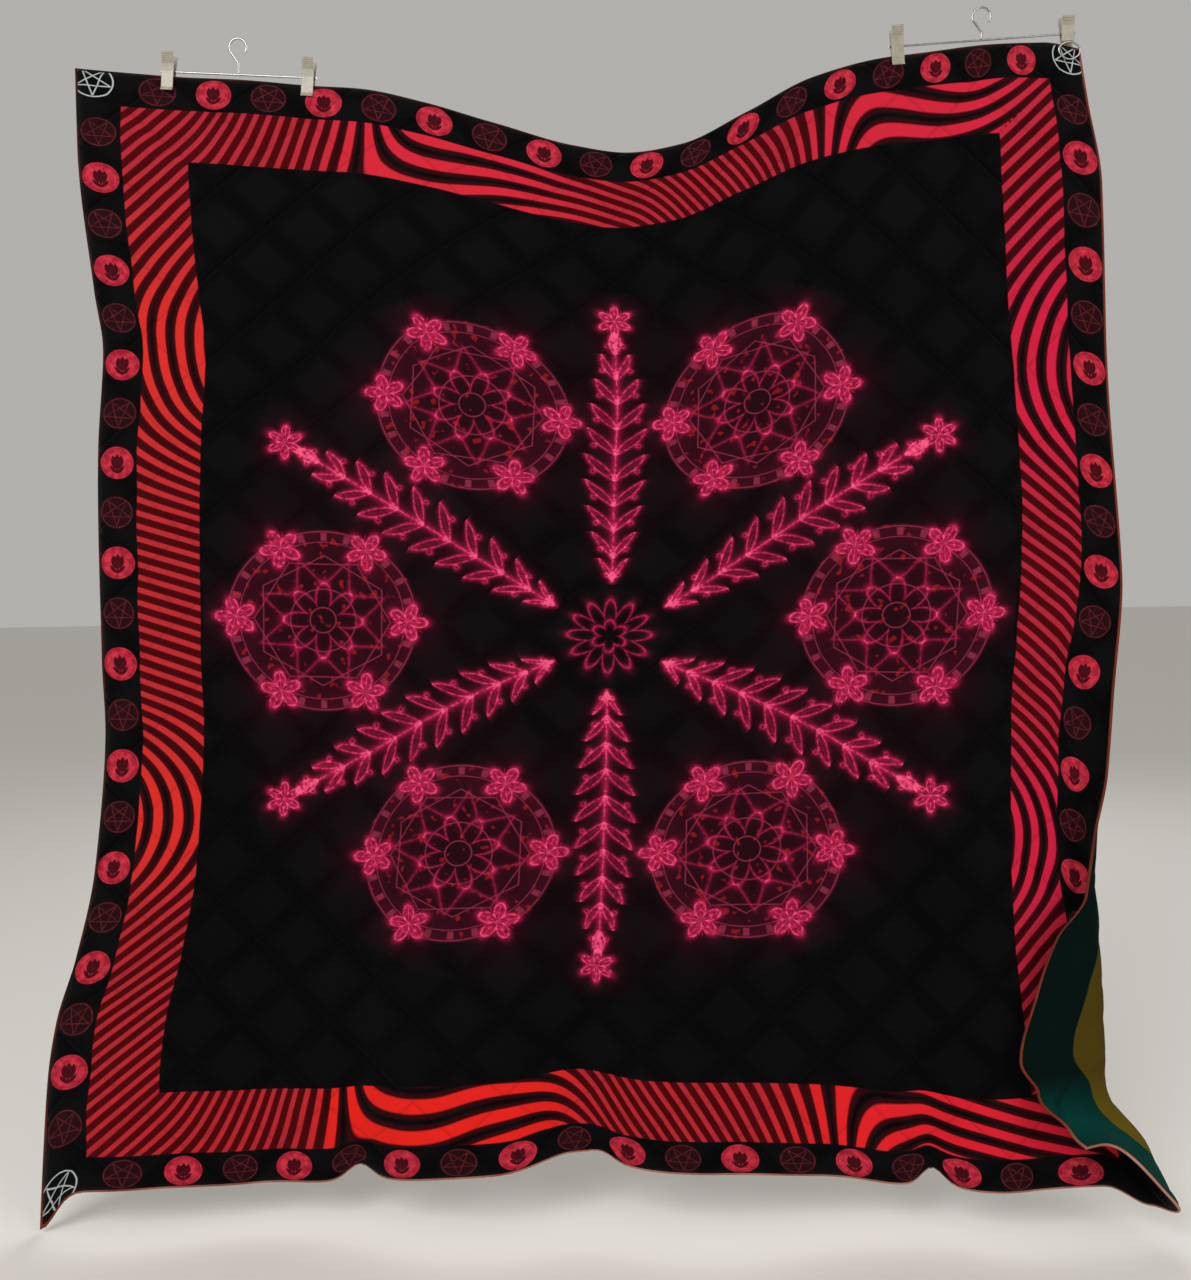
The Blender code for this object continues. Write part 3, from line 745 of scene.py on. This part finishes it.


# Weave at half a millimetre, soft creases over the cloth, and the thread's own groove
def clothRelief(tree, place, seams, deep):
    weave = addNoise(tree, place, 900.0, 1.0)
    crush = addNoise(tree, place, 45.0, 2.0)
    groove = seams.below(0.0022, 0.004)
    height = weave * 0.1 + crush * 0.75 - groove * deep
    return addNode(tree, "Bump", {"Strength": 0.75, "Distance": 0.0016, "Height": height})


# Plain woven lining, dark teal round the edge and olive inside it. Painted shade darkens the rolled
# flap from the fold to just above its foot; a slanting line of painted shade runs down it like a crease
lining = {
    "border": 0.07,
    "flapFrom": 1.495,
    "flapShadeFrom": 0.9,
    "flapShadeTo": 1.625,
    "crease": 1.57,
    "creaseWay": (0.79, 0.613),
    "creaseMiddle": 0.045,
}


def reverseCloth():
    made, tree, shader = newMaterial("reverse lining", Roughness=0.9, Sheen_Weight=0.01, **matt)
    place, u, v = clothPlace(tree, "print")
    rim = stored(tree, "rim")
    wash = addNoise(tree, place, 9.0, 4.0)
    teal = paint(linear("#01211c"), "#023d35", wash)
    olive = paint(linear("#4f4009"), "#64530f", wash)
    # Painted shade on the rolled flap, darkest from the fold down to just above its foot
    paintedFlapShade = (lining["flapShadeTo"] - v).ramp(14.0)
    paintedFlapShade = paintedFlapShade * (v - lining["flapShadeFrom"]).ramp(5.0)
    paintedFlapShade = paintedFlapShade * (u - lining["flapFrom"]).ramp(40.0)
    teal = paint(teal, "#010605", paintedFlapShade * 0.9)
    olive = paint(olive, "#2e2308", paintedFlapShade * 0.62)
    colour = paint(olive, teal.socket, rim.below(lining["border"], design["bandSoft"]))
    colour = paint(colour, "#02201c", (rim - lining["border"]).line(0.0008, 0.0008) * 0.6)
    # Painted shade: a dark slanting line down the flap, standing in for the shade of a crease
    x, y = u - lining["crease"], v - lining["crease"]
    beside, ahead = lining["creaseWay"]
    aside = x * beside - y * ahead
    along = x * ahead + y * beside - lining["creaseMiddle"]
    paintedCreaseShade = aside.line(0.0015, 0.01) * along.line(0.05, 0.04)
    colour = paint(colour, "#010b0a", paintedCreaseShade * 0.75)
    relief = clothRelief(tree, place, seamDistance(u, v), 0.45)
    dress(tree, shader, Base_Color=colour, Normal=relief)
    return made


# Folded bias tape: nearly black, then red-brown, then pinkish pale as its table rises round the quilt
tapeFinish = {"Roughness": 0.85, "Sheen_Weight": 0.03, "Specular_IOR_Level": 0.15}


def tapeCloth():
    made, tree, shader = newMaterial("bias tape", **tapeFinish)
    place = addNode(tree, "UVMap", uv_map="tape")
    fade = stored(tree, "fade") + (addNoise(tree, place, 14.0, 3.0) - 0.5) * 0.5
    colour = paint(linear("#120507"), "#6e2a18", fade.ramp(2.2))
    colour = paint(colour, "#b4806e", fade.ramp(2.4, -1.25))
    weave = addNoise(tree, place, 700.0, 2.0)
    bump = addNode(tree, "Bump", {"Strength": 0.4, "Distance": 0.0004, "Height": weave})
    dress(tree, shader, Base_Color=colour, Normal=bump)
    return made


# Stripe lines: place along the side, then how fast the phase grows to the right and downward
stripeTop = (
    (0, 40, 36), (0.14, 42, 34), (0.2, 50, 24), (0.29, 52, 14), (0.355, 42, 8), (0.39, 32, 2),
    (0.415, 26, -8), (0.44, 16, -18), (0.47, 4, -23), (0.53, -5, -25), (0.61, -4, -35), (0.7, 6, -46),
    (0.77, 22, -50), (0.83, 52, -46), (0.9, 66, -40), (0.98, 64, -32), (1.04, 50, -14), (1.09, 36, 0),
    (1.125, 26, 9), (1.155, 10, 15), (1.185, -2, 19), (1.24, -6, 23), (1.31, 0, 29), (1.37, 16, 33),
    (1.42, 28, 36), (2, 32, 36),
)
stripeHem = (
    (0, 44, 44), (0.14, 44, 44), (0.22, 56, 30), (0.3, 58, 20), (0.36, 50, 10), (0.4, 34, 2),
    (0.43, 20, -9), (0.455, 8, -18), (0.49, 3, -21), (0.53, -2, -22), (0.57, -8, -23), (0.62, -4, -26),
    (0.67, 4, -31), (0.71, 24, -34), (0.76, 46, -34), (0.84, 54, -32), (0.95, 52, -24), (1.04, 44, -10),
    (1.088, 34, 0), (1.13, 22, 12), (1.18, 4, 26), (1.26, -6, 34), (1.38, -14, 36), (2, -14, 34),
)
stripeLeft = (
    (0, 40, 36), (0.14, 40, 36), (0.3, 38, 30), (0.39, 37, 16), (0.46, 37, 0), (0.54, 36, -18),
    (0.62, 26, -38), (0.75, 14, -50), (1, 18, -48), (1.1, 30, -32), (1.16, 34, -14), (1.21, 34, 0),
    (1.27, 36, 18), (1.35, 38, 36), (1.5, 42, 44), (1.78, 44, 46),
)
stripeRight = (
    (0, 32, 36), (0.14, 32, 36), (0.3, 32, 34), (0.42, 32, 16), (0.52, 32, 0), (0.6, 32, -18),
    (0.68, 32, -34), (0.8, 32, -42), (1.02, 32, -42), (1.12, 32, -32), (1.19, 32, -14), (1.245, 32, 0),
    (1.31, 32, 18), (1.4, 32, 34), (1.6, 32, 38), (1.78, 32, 38),
)


# The tables' rates are summed up over this length in metres
stripeReach = 2.0


# Phase of the stripes on one side of the band; the first rate runs along it
def sidePhase(rows, along, inward, growsAlong, growsInward):
    fine = np.linspace(0, stripeReach, 4001)
    rate = smoothValue(rows, growsAlong, fine)
    total = np.concatenate(((0.0,), np.cumsum((rate[1:] + rate[:-1]) / 2) * (fine[1] - fine[0])))
    cross = smoothValue(rows, growsInward, along)
    density = np.hypot(smoothValue(rows, growsAlong, along), cross)
    return np.interp(along, fine, total) + cross * inward, density


def stripeField(across, down, faceAcross, faceDown):
    mid = (design["roundelBand"] + design["stripeBand"]) / 2

    def sides(a, d):
        return (
            sidePhase(stripeTop, a, d - mid, 1, 2),
            sidePhase(stripeLeft, d, a - mid, 2, 1),
            sidePhase(stripeRight, d, a - (width - mid), 2, 1),
            sidePhase(stripeHem, a, d - (length - mid), 1, 2),
        )

    corners = np.array((mid, width - mid, mid)), np.array((mid, mid, length - mid))
    top, left, right, hem = (phase for phase, density in sides(*corners))
    leftShift = top[0] - left[0]
    rightShift = top[1] - right[1]
    hemShift = left[2] + leftShift - hem[2]
    top, left, right, hem = sides(across, down)
    lefthand = faceAcross < width / 2
    upper = faceDown < length / 2
    level = np.minimum(faceDown, length - faceDown) < np.minimum(faceAcross, width - faceAcross)
    level = level | (faceDown > length - design["stripeBand"]) & ~lefthand
    phase = np.where(lefthand, left[0] + leftShift, right[0] + rightShift)
    phase = np.where(level, np.where(upper, top[0], hem[0] + hemShift), phase)
    density = np.where(lefthand, left[1], right[1])
    return phase, np.where(level, np.where(upper, top[1], hem[1]), density)


# Real distance to the nearest edge of the cloth, along its own lines
def rimDistance(points):
    right = np.linalg.norm(np.diff(points, axis=1), axis=-1)
    low = np.linalg.norm(np.diff(points, axis=0), axis=-1)
    fromLeft = np.pad(np.cumsum(right, axis=1), ((0, 0), (1, 0)))
    fromTop = np.pad(np.cumsum(low, axis=0), ((1, 0), (0, 0)))
    fromRight = fromLeft[:, -1:] - fromLeft
    fromHem = fromTop[-1:, :] - fromTop
    return np.minimum(np.minimum(fromLeft, fromRight), np.minimum(fromTop, fromHem))


# A finished shape as a mesh of this name
def meshFrom(shape, name):
    mesh = bpy.data.meshes.new(name)
    shape.to_mesh(mesh)
    shape.free()
    return mesh


def linkNew(name, data, materials):
    piece = bpy.data.objects.new(name, data)
    sceneNow.collection.objects.link(piece)
    for material in materials:
        piece.data.materials.append(material)
    return piece


# The vertex at each corner of each face
def cornerVertices(mesh):
    corners = np.empty(len(mesh.loops), dtype=np.int32)
    mesh.loops.foreach_get("vertex_index", corners)
    return corners


def setMap(mesh, name, values):
    layer = mesh.uv_layers.new(name=name)
    layer.data.foreach_set("uv", values[cornerVertices(mesh)].astype(np.float32).ravel())


def setValues(mesh, name, values, domain="POINT"):
    layer = mesh.attributes.new(name, "FLOAT", domain)
    layer.data.foreach_set("value", values.astype(np.float32).ravel())


# Distance to the nearest edge in flat measure
def flatRim(across, down):
    side = np.minimum(across, width - across)
    return np.minimum(side, np.minimum(down, length - down))


# Order of the quilt's materials
clothKinds = {"bands": 0, "art": 1, "plain": 2, "lining": 3}


def onlyKind(items, kind):
    return [item for item in items if isinstance(item, kind)]


# The quilt: printed face and lining over one grid, joined at the rim
def makeQuilt():
    apart = 0.1
    columns = quilt["columns"] + quilt["rollColumns"]
    rows = quilt["rows"]
    shape = bmesh.new()
    ops.create_grid(shape, x_segments=columns, y_segments=rows, size=0.5)
    copies = ops.duplicate(shape, geom=shape.verts[:] + shape.edges[:] + shape.faces[:])["geom"]
    ops.translate(shape, verts=onlyKind(copies, bmesh.types.BMVert), vec=(0, 0, -apart))
    ops.reverse_faces(shape, faces=onlyKind(copies, bmesh.types.BMFace))
    ops.bridge_loops(shape, edges=[edge for edge in shape.edges if edge.is_boundary])
    ops.recalc_face_normals(shape, faces=shape.faces[:])
    mesh = meshFrom(shape, "quiltCloth")
    places = np.empty(len(mesh.vertices) * 3, dtype=np.float32)
    mesh.vertices.foreach_get("co", places)
    places = places.reshape(-1, 3)
    column = np.rint((places[:, 0] + 0.5) * columns).astype(int)
    row = np.rint((0.5 - places[:, 1]) * rows).astype(int)
    back = places[:, 2] < -apart / 2
    across, down, printed, points, normals = sheetGrid(quilt["trim"])
    pad = quilt["seamHalf"] + (quilt["padHalf"] - quilt["seamHalf"]) * padFullness(across, down)
    pad = pad + puckerHeight(across, down) * puckers["pad"]
    thin = ease((flatRim(across, down) - quilt["edgeFlat"]) / quilt["edgeFrom"])
    half = quilt["edgeHalf"] + (pad - quilt["edgeHalf"]) * thin
    middle = points + normals * (puckerHeight(across, down) * thin)[..., None]
    side = np.where(back, -1.0, 1.0)[:, None]
    placed = middle[row, column] + normals[row, column] * half[row, column][:, None] * side
    mesh.vertices.foreach_set("co", placed.astype(np.float32).ravel())
    flat = np.stack((printed, down), axis=-1)[row, column]
    setMap(mesh, "print", flat)
    flat = flat[cornerVertices(mesh).reshape(-1, 4)]
    centres = flat.mean(axis=1, keepdims=True)
    for name, values in zip(("stripe", "crowding"), stripeField(*flat.T, *centres.T)):
        setValues(mesh, name, values.T, "CORNER")
    setValues(mesh, "rim", rimDistance(points)[row, column])
    fromMiddle = np.hypot(printed - width / 2, down - length / 2)[row, column]
    inBands = flatRim(printed, down) < design["stripeBand"] + design["bandSpare"]
    inBands = inBands[row, column]
    inArt = fromMiddle < design["artReach"]
    for face in mesh.polygons:
        corners = list(face.vertices)
        face.use_smooth = True
        if back[corners].all():
            kind = "lining"
        elif inBands[corners].any():
            kind = "bands"
        else:
            kind = "art" if inArt[corners].any() else "plain"
        face.material_index = clothKinds[kind]
    mesh.update()
    bands = printedCloth("cotton printed in bands", "bands")
    art = printedCloth("cotton printed with rosettes", "art")
    plain = printedCloth("black cotton", "plain")
    return linkNew("quiltCloth", mesh, (bands, art, plain, reverseCloth()))


# Rounded section of the folded tape: distance in from the outline, and height
tape = {
    "section": (
        (0.0001, 0.0), (0.0004, 0.0011), (0.0012, 0.0017), (0.0024, 0.0018), (0.0036, 0.0014),
        (0.0036, -0.0014), (0.0024, -0.0018), (0.0012, -0.0017), (0.0004, -0.0011),
    ),
    "step": 0.002,
}

# How pale the tape is: side and share of it clockwise from the top left, then nought dark to one pale
tapePaleness = (
    (0, 0.04), (0.985, 0.06), (1, 0.52), (1.03, 0.62), (1.06, 0.3), (1.2, 0.42), (1.45, 0.44),
    (1.62, 0.36), (1.72, 0.34), (1.77, 0.3), (1.8, 0.42), (1.86, 0.44), (1.92, 0.46), (1.96, 0.56),
    (2, 0.72), (2.04, 0.86), (2.1, 0.82), (2.16, 0.72), (2.5, 0.7), (2.95, 0.62), (3.03, 0.24),
    (3.2, 0.1), (4, 0.04),
)


# The tape's outline in flat places: points on the sheet at one distance from its edge
def tapeLoop(inset, height):
    across, down, printed, points, normals = sheetGrid(max(inset, 0.0))
    lifted = points + normals * height
    return np.concatenate((lifted[0, :-1], lifted[:-1, -1], lifted[-1, :0:-1], lifted[:0:-1, 0]))


def makeTape():
    loops = np.stack([tapeLoop(*spot) for spot in tape["section"]], axis=1)
    stations, sides = loops.shape[:2]
    steps = np.linalg.norm(np.diff(loops[:, 2], axis=0, append=loops[:1, 2]), axis=-1)
    along = np.concatenate(((0.0,), np.cumsum(steps)))[:-1]
    shape = bmesh.new()
    grid = [[shape.verts.new(loops[a, b]) for b in range(sides)] for a in range(stations)]
    for a in range(stations):
        ahead = grid[(a + 1) % stations]
        for b in range(sides):
            c = (b + 1) % sides
            shape.faces.new((grid[a][b], grid[a][c], ahead[c], ahead[b])).smooth = True
    ops.recalc_face_normals(shape, faces=shape.faces[:])
    mesh = meshFrom(shape, "bindingTape")
    wide = np.arange(sides) * tape["step"]
    flat = np.stack(np.broadcast_arrays(along[:, None], wide[None, :]), axis=-1).reshape(-1, 2)
    setMap(mesh, "tape", flat)
    rows, columns = quilt["rows"], quilt["columns"] + quilt["rollColumns"]
    counts = enumerate((columns, rows, columns, rows))
    shares = [side + np.arange(count) / count for side, count in counts]
    fade = smoothValue(tapePaleness, 1, np.concatenate(shares))
    setValues(mesh, "fade", np.repeat(fade, sides))
    return linkNew("bindingTape", mesh, (tapeCloth(),))


cloth = makeQuilt()
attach(cloth, "root")
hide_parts("quilt")
binding = makeTape()
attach(binding, "root")
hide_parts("binding")
print("cloth made")


# Unevenness through a hanger's part
def solidNoise(tree, scale, detail):
    inputs = {"Vector": addNode(tree, "TexCoord", output=3), "Scale": scale, "Detail": detail}
    return addNode(tree, "TexNoise", inputs)


# Bright plated wire: a mirror-like metal with a little haze
def wireMetal():
    made, tree, shader = newMaterial("plated wire", Metallic=1.0, Roughness=0.24)
    haze = solidNoise(tree, 140.0, 3.0)
    colour = paint(linear("#8f9190"), "#b9bab7", haze)
    dress(tree, shader, Base_Color=colour, Roughness=haze * 0.2 + 0.14)
    return made


# Pale moulded plastic: soft gloss, faint flow marks in uneven tone
def clipPlastic():
    made, tree, shader = newMaterial("pale clip plastic", Roughness=0.28)
    flow = solidNoise(tree, 90.0, 4.0)
    colour = paint(linear("#857f70"), "#a49c8b", flow.ramp(1.6, -0.3))
    bump = addNode(tree, "Bump", {"Strength": 0.25, "Distance": 0.0003, "Height": flow})
    dress(tree, shader, Base_Color=colour, Normal=bump)
    return made


# The hangers as the frame has them
hangers = {
    "left": {"middle": -0.547, "height": -0.052, "tilt": -4.6, "spacing": 0.212, "first": 1},
    "right": {"middle": 0.547, "height": -0.045, "tilt": 1.9, "spacing": 0.243, "first": 3},
}
wireSize = {
    "radius": 0.0016,
    "overhang": 0.012,
    "hookRadius": 0.013,
    "hookTurn": (-35, 225),
    "elbow": (-0.0033, 0, -0.0297),
    "stemTop": -0.034,
    "gap": 0.0003,
}
clipSize = {
    "width": 0.018,
    "plate": 0.0014,
    "rib": (0.78, 0.0009, 0.0011),
    "ribOut": 0.75,
    "rounding": 0.0004,
    "profile": (
        (0.0105, 0.027), (0.0065, 0.01), (0.0049, 0.0), (0.0049, -0.024), (0.0072, -0.029),
    ),
    "last": ((0.0105, 0.022), (0.0065, 0.01), (0.0049, 0.0), (0.0049, -0.012)),
    "ribs": (0.0235, 0.0205, 0.0175, 0.0145),
    "lastRibs": (0.019, 0.016),
}
springSize = {"wire": 0.00065, "radius": 0.00275, "turns": 6, "length": 0.0088}
loopSize = {"wire": 0.0013, "forward": 0.0056}
loopCorners = (
    (-0.0065, -0.0135), (-0.016, -0.022), (-0.011, -0.034), (0.002, -0.04),
    (0.014, -0.034), (0.0175, -0.024), (0.0065, -0.0135),
)


def makeWire(name, points, radius, material, closed=False, place=None):
    data = bpy.data.curves.new(name, "CURVE")
    data.dimensions = "3D"
    data.bevel_depth = radius
    data.bevel_resolution = 5
    data.use_fill_caps = not closed
    line = data.splines.new("POLY")
    line.points.add(len(points) - 1)
    for target, point in zip(line.points, points):
        target.co = (*(place @ Vector(point) if place else point), 1)
    line.use_cyclic_u = closed
    line.use_smooth = True
    return linkNew(name, data, (material,))


# A clip plate: side profile drawn over its width, with finger ribs, thickened and rounded
def makePlate(name, profile, ribs, side, material, place):
    fine = np.linspace(0, len(profile) - 1, 4 * (len(profile) - 1) + 1)
    ends = np.arange(len(profile))
    forward = np.interp(fine, ends, [spot[0] for spot in profile])
    height = np.interp(fine, ends, [spot[1] for spot in profile])
    shape = bmesh.new()
    half = clipSize["width"] / 2
    line = [shape.verts.new((-half, -side * f, h)) for f, h in zip(forward, height)]
    edges = [shape.edges.new(pair) for pair in zip(line, line[1:])]
    drawn = ops.extrude_edge_only(shape, edges=edges)["geom"]
    moved = onlyKind(drawn, bmesh.types.BMVert)
    ops.translate(shape, verts=moved, vec=(clipSize["width"], 0, 0))
    ops.recalc_face_normals(shape, faces=shape.faces[:])
    ops.solidify(shape, geom=shape.faces[:], thickness=clipSize["plate"])
    middle = sum((face.calc_center_median() for face in shape.faces), Vector()) / len(shape.faces)
    wanted = Vector((0, -side * float(np.mean(forward)), 0))
    ops.translate(shape, verts=shape.verts[:], vec=(0, wanted.y - middle.y, 0))
    for rib in ribs:
        out = float(np.interp(rib, height[::-1], forward[::-1]))
        out = out + clipSize["plate"] * clipSize["ribOut"]
        bar = ops.create_cube(shape, size=1.0)["verts"]
        share, deep, high = clipSize["rib"]
        ops.scale(shape, verts=bar, vec=(clipSize["width"] * share, deep, high))
        ops.translate(shape, verts=bar, vec=(0, -side * out, rib))
    ops.recalc_face_normals(shape, faces=shape.faces[:])
    ops.transform(shape, matrix=place, verts=shape.verts[:])
    piece = linkNew(name, meshFrom(shape, name), (material,))
    rounded = piece.modifiers.new("Rounded", "BEVEL")
    rounded.width = clipSize["rounding"]
    rounded.segments = 2
    rounded.limit_method = "ANGLE"
    return piece


def finishPiece(piece, node):
    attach(piece, "root")
    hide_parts(node)


def makeHanger(name, hanger, metal, plastic):
    half = hanger["spacing"] / 2
    place = Matrix.Translation((hanger["middle"], 0, hanger["height"]))
    place @= Matrix.Rotation(math.radians(-hanger["tilt"]), 4, "Y")
    reach = half + wireSize["overhang"]
    wire, r = wireSize["radius"], wireSize["hookRadius"]
    rod = makeWire(f"rodWire_{name}", [(-reach, 0, 0), (reach, 0, 0)], wire, metal, place=place)
    finishPiece(rod, f"rod_{name}")
    bends = np.radians(np.linspace(*wireSize["hookTurn"], 40))
    points = [(r * math.cos(a), 0, wire - r + r * math.sin(a)) for a in bends]
    start, elbow = Vector(points[-1]), Vector(wireSize["elbow"])
    end = Vector((0, 0, wireSize["stemTop"]))
    for share in np.linspace(0.15, 1, 8):
        points.append(tuple((start.lerp(elbow, share)).lerp(elbow.lerp(end, share), share)))
    points.append((0, 0, hanger["height"] + wire + wireSize["gap"]))
    points = [(x + hanger["middle"], y, z) for x, y, z in points]
    hook = makeWire(f"hookWire_{name}", points, wire, metal)
    finishPiece(hook, f"hook_{name}")
    for number, side in enumerate((-half, half)):
        clip = f"clip_{hanger['first'] + number}"
        looped = clip == "clip_4"
        spot = place @ Matrix.Translation((side, 0, 0))
        for way, facing in (("front", 1), ("back", -1)):
            last = looped and way == "front"
            shown = clipSize["last" if last else "profile"]
            ribs = clipSize["lastRibs" if last else "ribs"]
            plate = makePlate(f"{clip}_{way}Plate", shown, ribs, facing, plastic, spot)
            finishPiece(plate, f"{clip}_{way}")
        count, radius = springSize["turns"], springSize["radius"]
        turns = np.linspace(0, count, count * 14)
        ahead = (turns / count - 0.5) * springSize["length"]
        angles = 2 * math.pi * turns
        coil = list(zip(ahead, radius * np.cos(angles), radius * np.sin(angles)))
        spring = makeWire(f"{clip}_coil", coil, springSize["wire"], metal, place=spot)
        finishPiece(spring, f"{clip}_spring")
        if looped:
            corners = np.array(loopCorners + loopCorners[:1])
            fine = np.linspace(0, len(loopCorners), len(loopCorners) * 6, endpoint=False)
            ends = np.arange(len(corners))
            bent = np.stack([np.interp(fine, ends, corners[:, k]) for k in (0, 1)], axis=1)
            for step in range(8):
                bent = (np.roll(bent, 1, axis=0) + bent * 2 + np.roll(bent, -1, axis=0)) / 4
            loop = [(x, -loopSize["forward"], z) for x, z in bent]
            ring = makeWire(
                f"{clip}_wireLoop", loop, loopSize["wire"], metal, closed=True, place=spot
            )
            finishPiece(ring, f"{clip}_loop")


metal = wireMetal()
plastic = clipPlastic()
for name, hanger in hangers.items():
    makeHanger(name, hanger, metal, plastic)
print("hangers made")

# Pale floor just under the hem, soft light and the camera
stageSize = {"floor": 60.0, "drop": 0.004}
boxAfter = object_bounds()
floorShape = bmesh.new()
ops.create_grid(floorShape, x_segments=1, y_segments=1, size=stageSize["floor"])
floorHeight = boxAfter[0][2] - stageSize["drop"]
ops.translate(floorShape, verts=floorShape.verts[:], vec=(0, 0, floorHeight))
floorPaint = newMaterial("pale floor", Roughness=0.7, Base_Color=linear("#e6e3dd"))[0]
floor = linkNew("floor", meshFrom(floorShape, "floor"), (floorPaint,))

room = {"Color": linear("#eceae6"), "Strength": 0.53}
world = bpy.data.worlds.new("soft room")
sceneNow.world = world
world.use_nodes = True
for key, value in room.items():
    world.node_tree.nodes["Background"].inputs[key].default_value = value

# Each lamp: where it stands, what it looks at, its size and its power
lamps = {
    "key": {"at": (-1.6, -3.2, 1.3), "to": (0, 0, -0.9), "size": 2.2, "power": 98},
    "fill": {"at": (2.4, -2.6, 0.2), "to": (0, 0, -0.9), "size": 2.0, "power": 38},
    "back": {"at": (0.6, 3.0, 1.4), "to": (0, 0, -0.8), "size": 2.2, "power": 40},
}
for name, lamp in lamps.items():
    light = bpy.data.lights.new(name, "AREA")
    light.size = lamp["size"]
    light.energy = lamp["power"]
    shine = bpy.data.objects.new(name, light)
    sceneNow.collection.objects.link(shine)
    shine.location = lamp["at"]
    aim = Vector(lamp["to"]) - Vector(lamp["at"])
    shine.rotation_euler = aim.to_track_quat("-Z", "Y").to_euler()

# Focal length and the wall's vanishing point in the photograph's pixels, roll in degrees
view = {
    "focal": 1250.0,
    "long": 1280.0,
    "vanish": (60.5, 42.0),
    "roll": 1.0,
    "at": (0.0615, -1.865, -0.844),
    "sensor": 36,
    "near": 0.01,
}
awayAxis = Vector((*view["vanish"], -view["focal"])).normalized()
sideAxis = Vector((1, math.tan(math.radians(view["roll"])), 0))
sideAxis.z = -(sideAxis.x * awayAxis.x + sideAxis.y * awayAxis.y) / awayAxis.z
sideAxis.normalize()
turned = Matrix((sideAxis, awayAxis, sideAxis.cross(awayAxis)))
lens = bpy.data.cameras.new("camera")
lens.sensor_width = view["sensor"]
lens.lens = view["focal"] / view["long"] * view["sensor"]
lens.clip_start = view["near"]
camera = bpy.data.objects.new("camera", lens)
sceneNow.collection.objects.link(camera)
camera.matrix_world = Matrix.Translation(view["at"]) @ turned.to_4x4()
sceneNow.camera = camera
sceneNow.view_settings.view_transform = "Standard"
print("stage made")
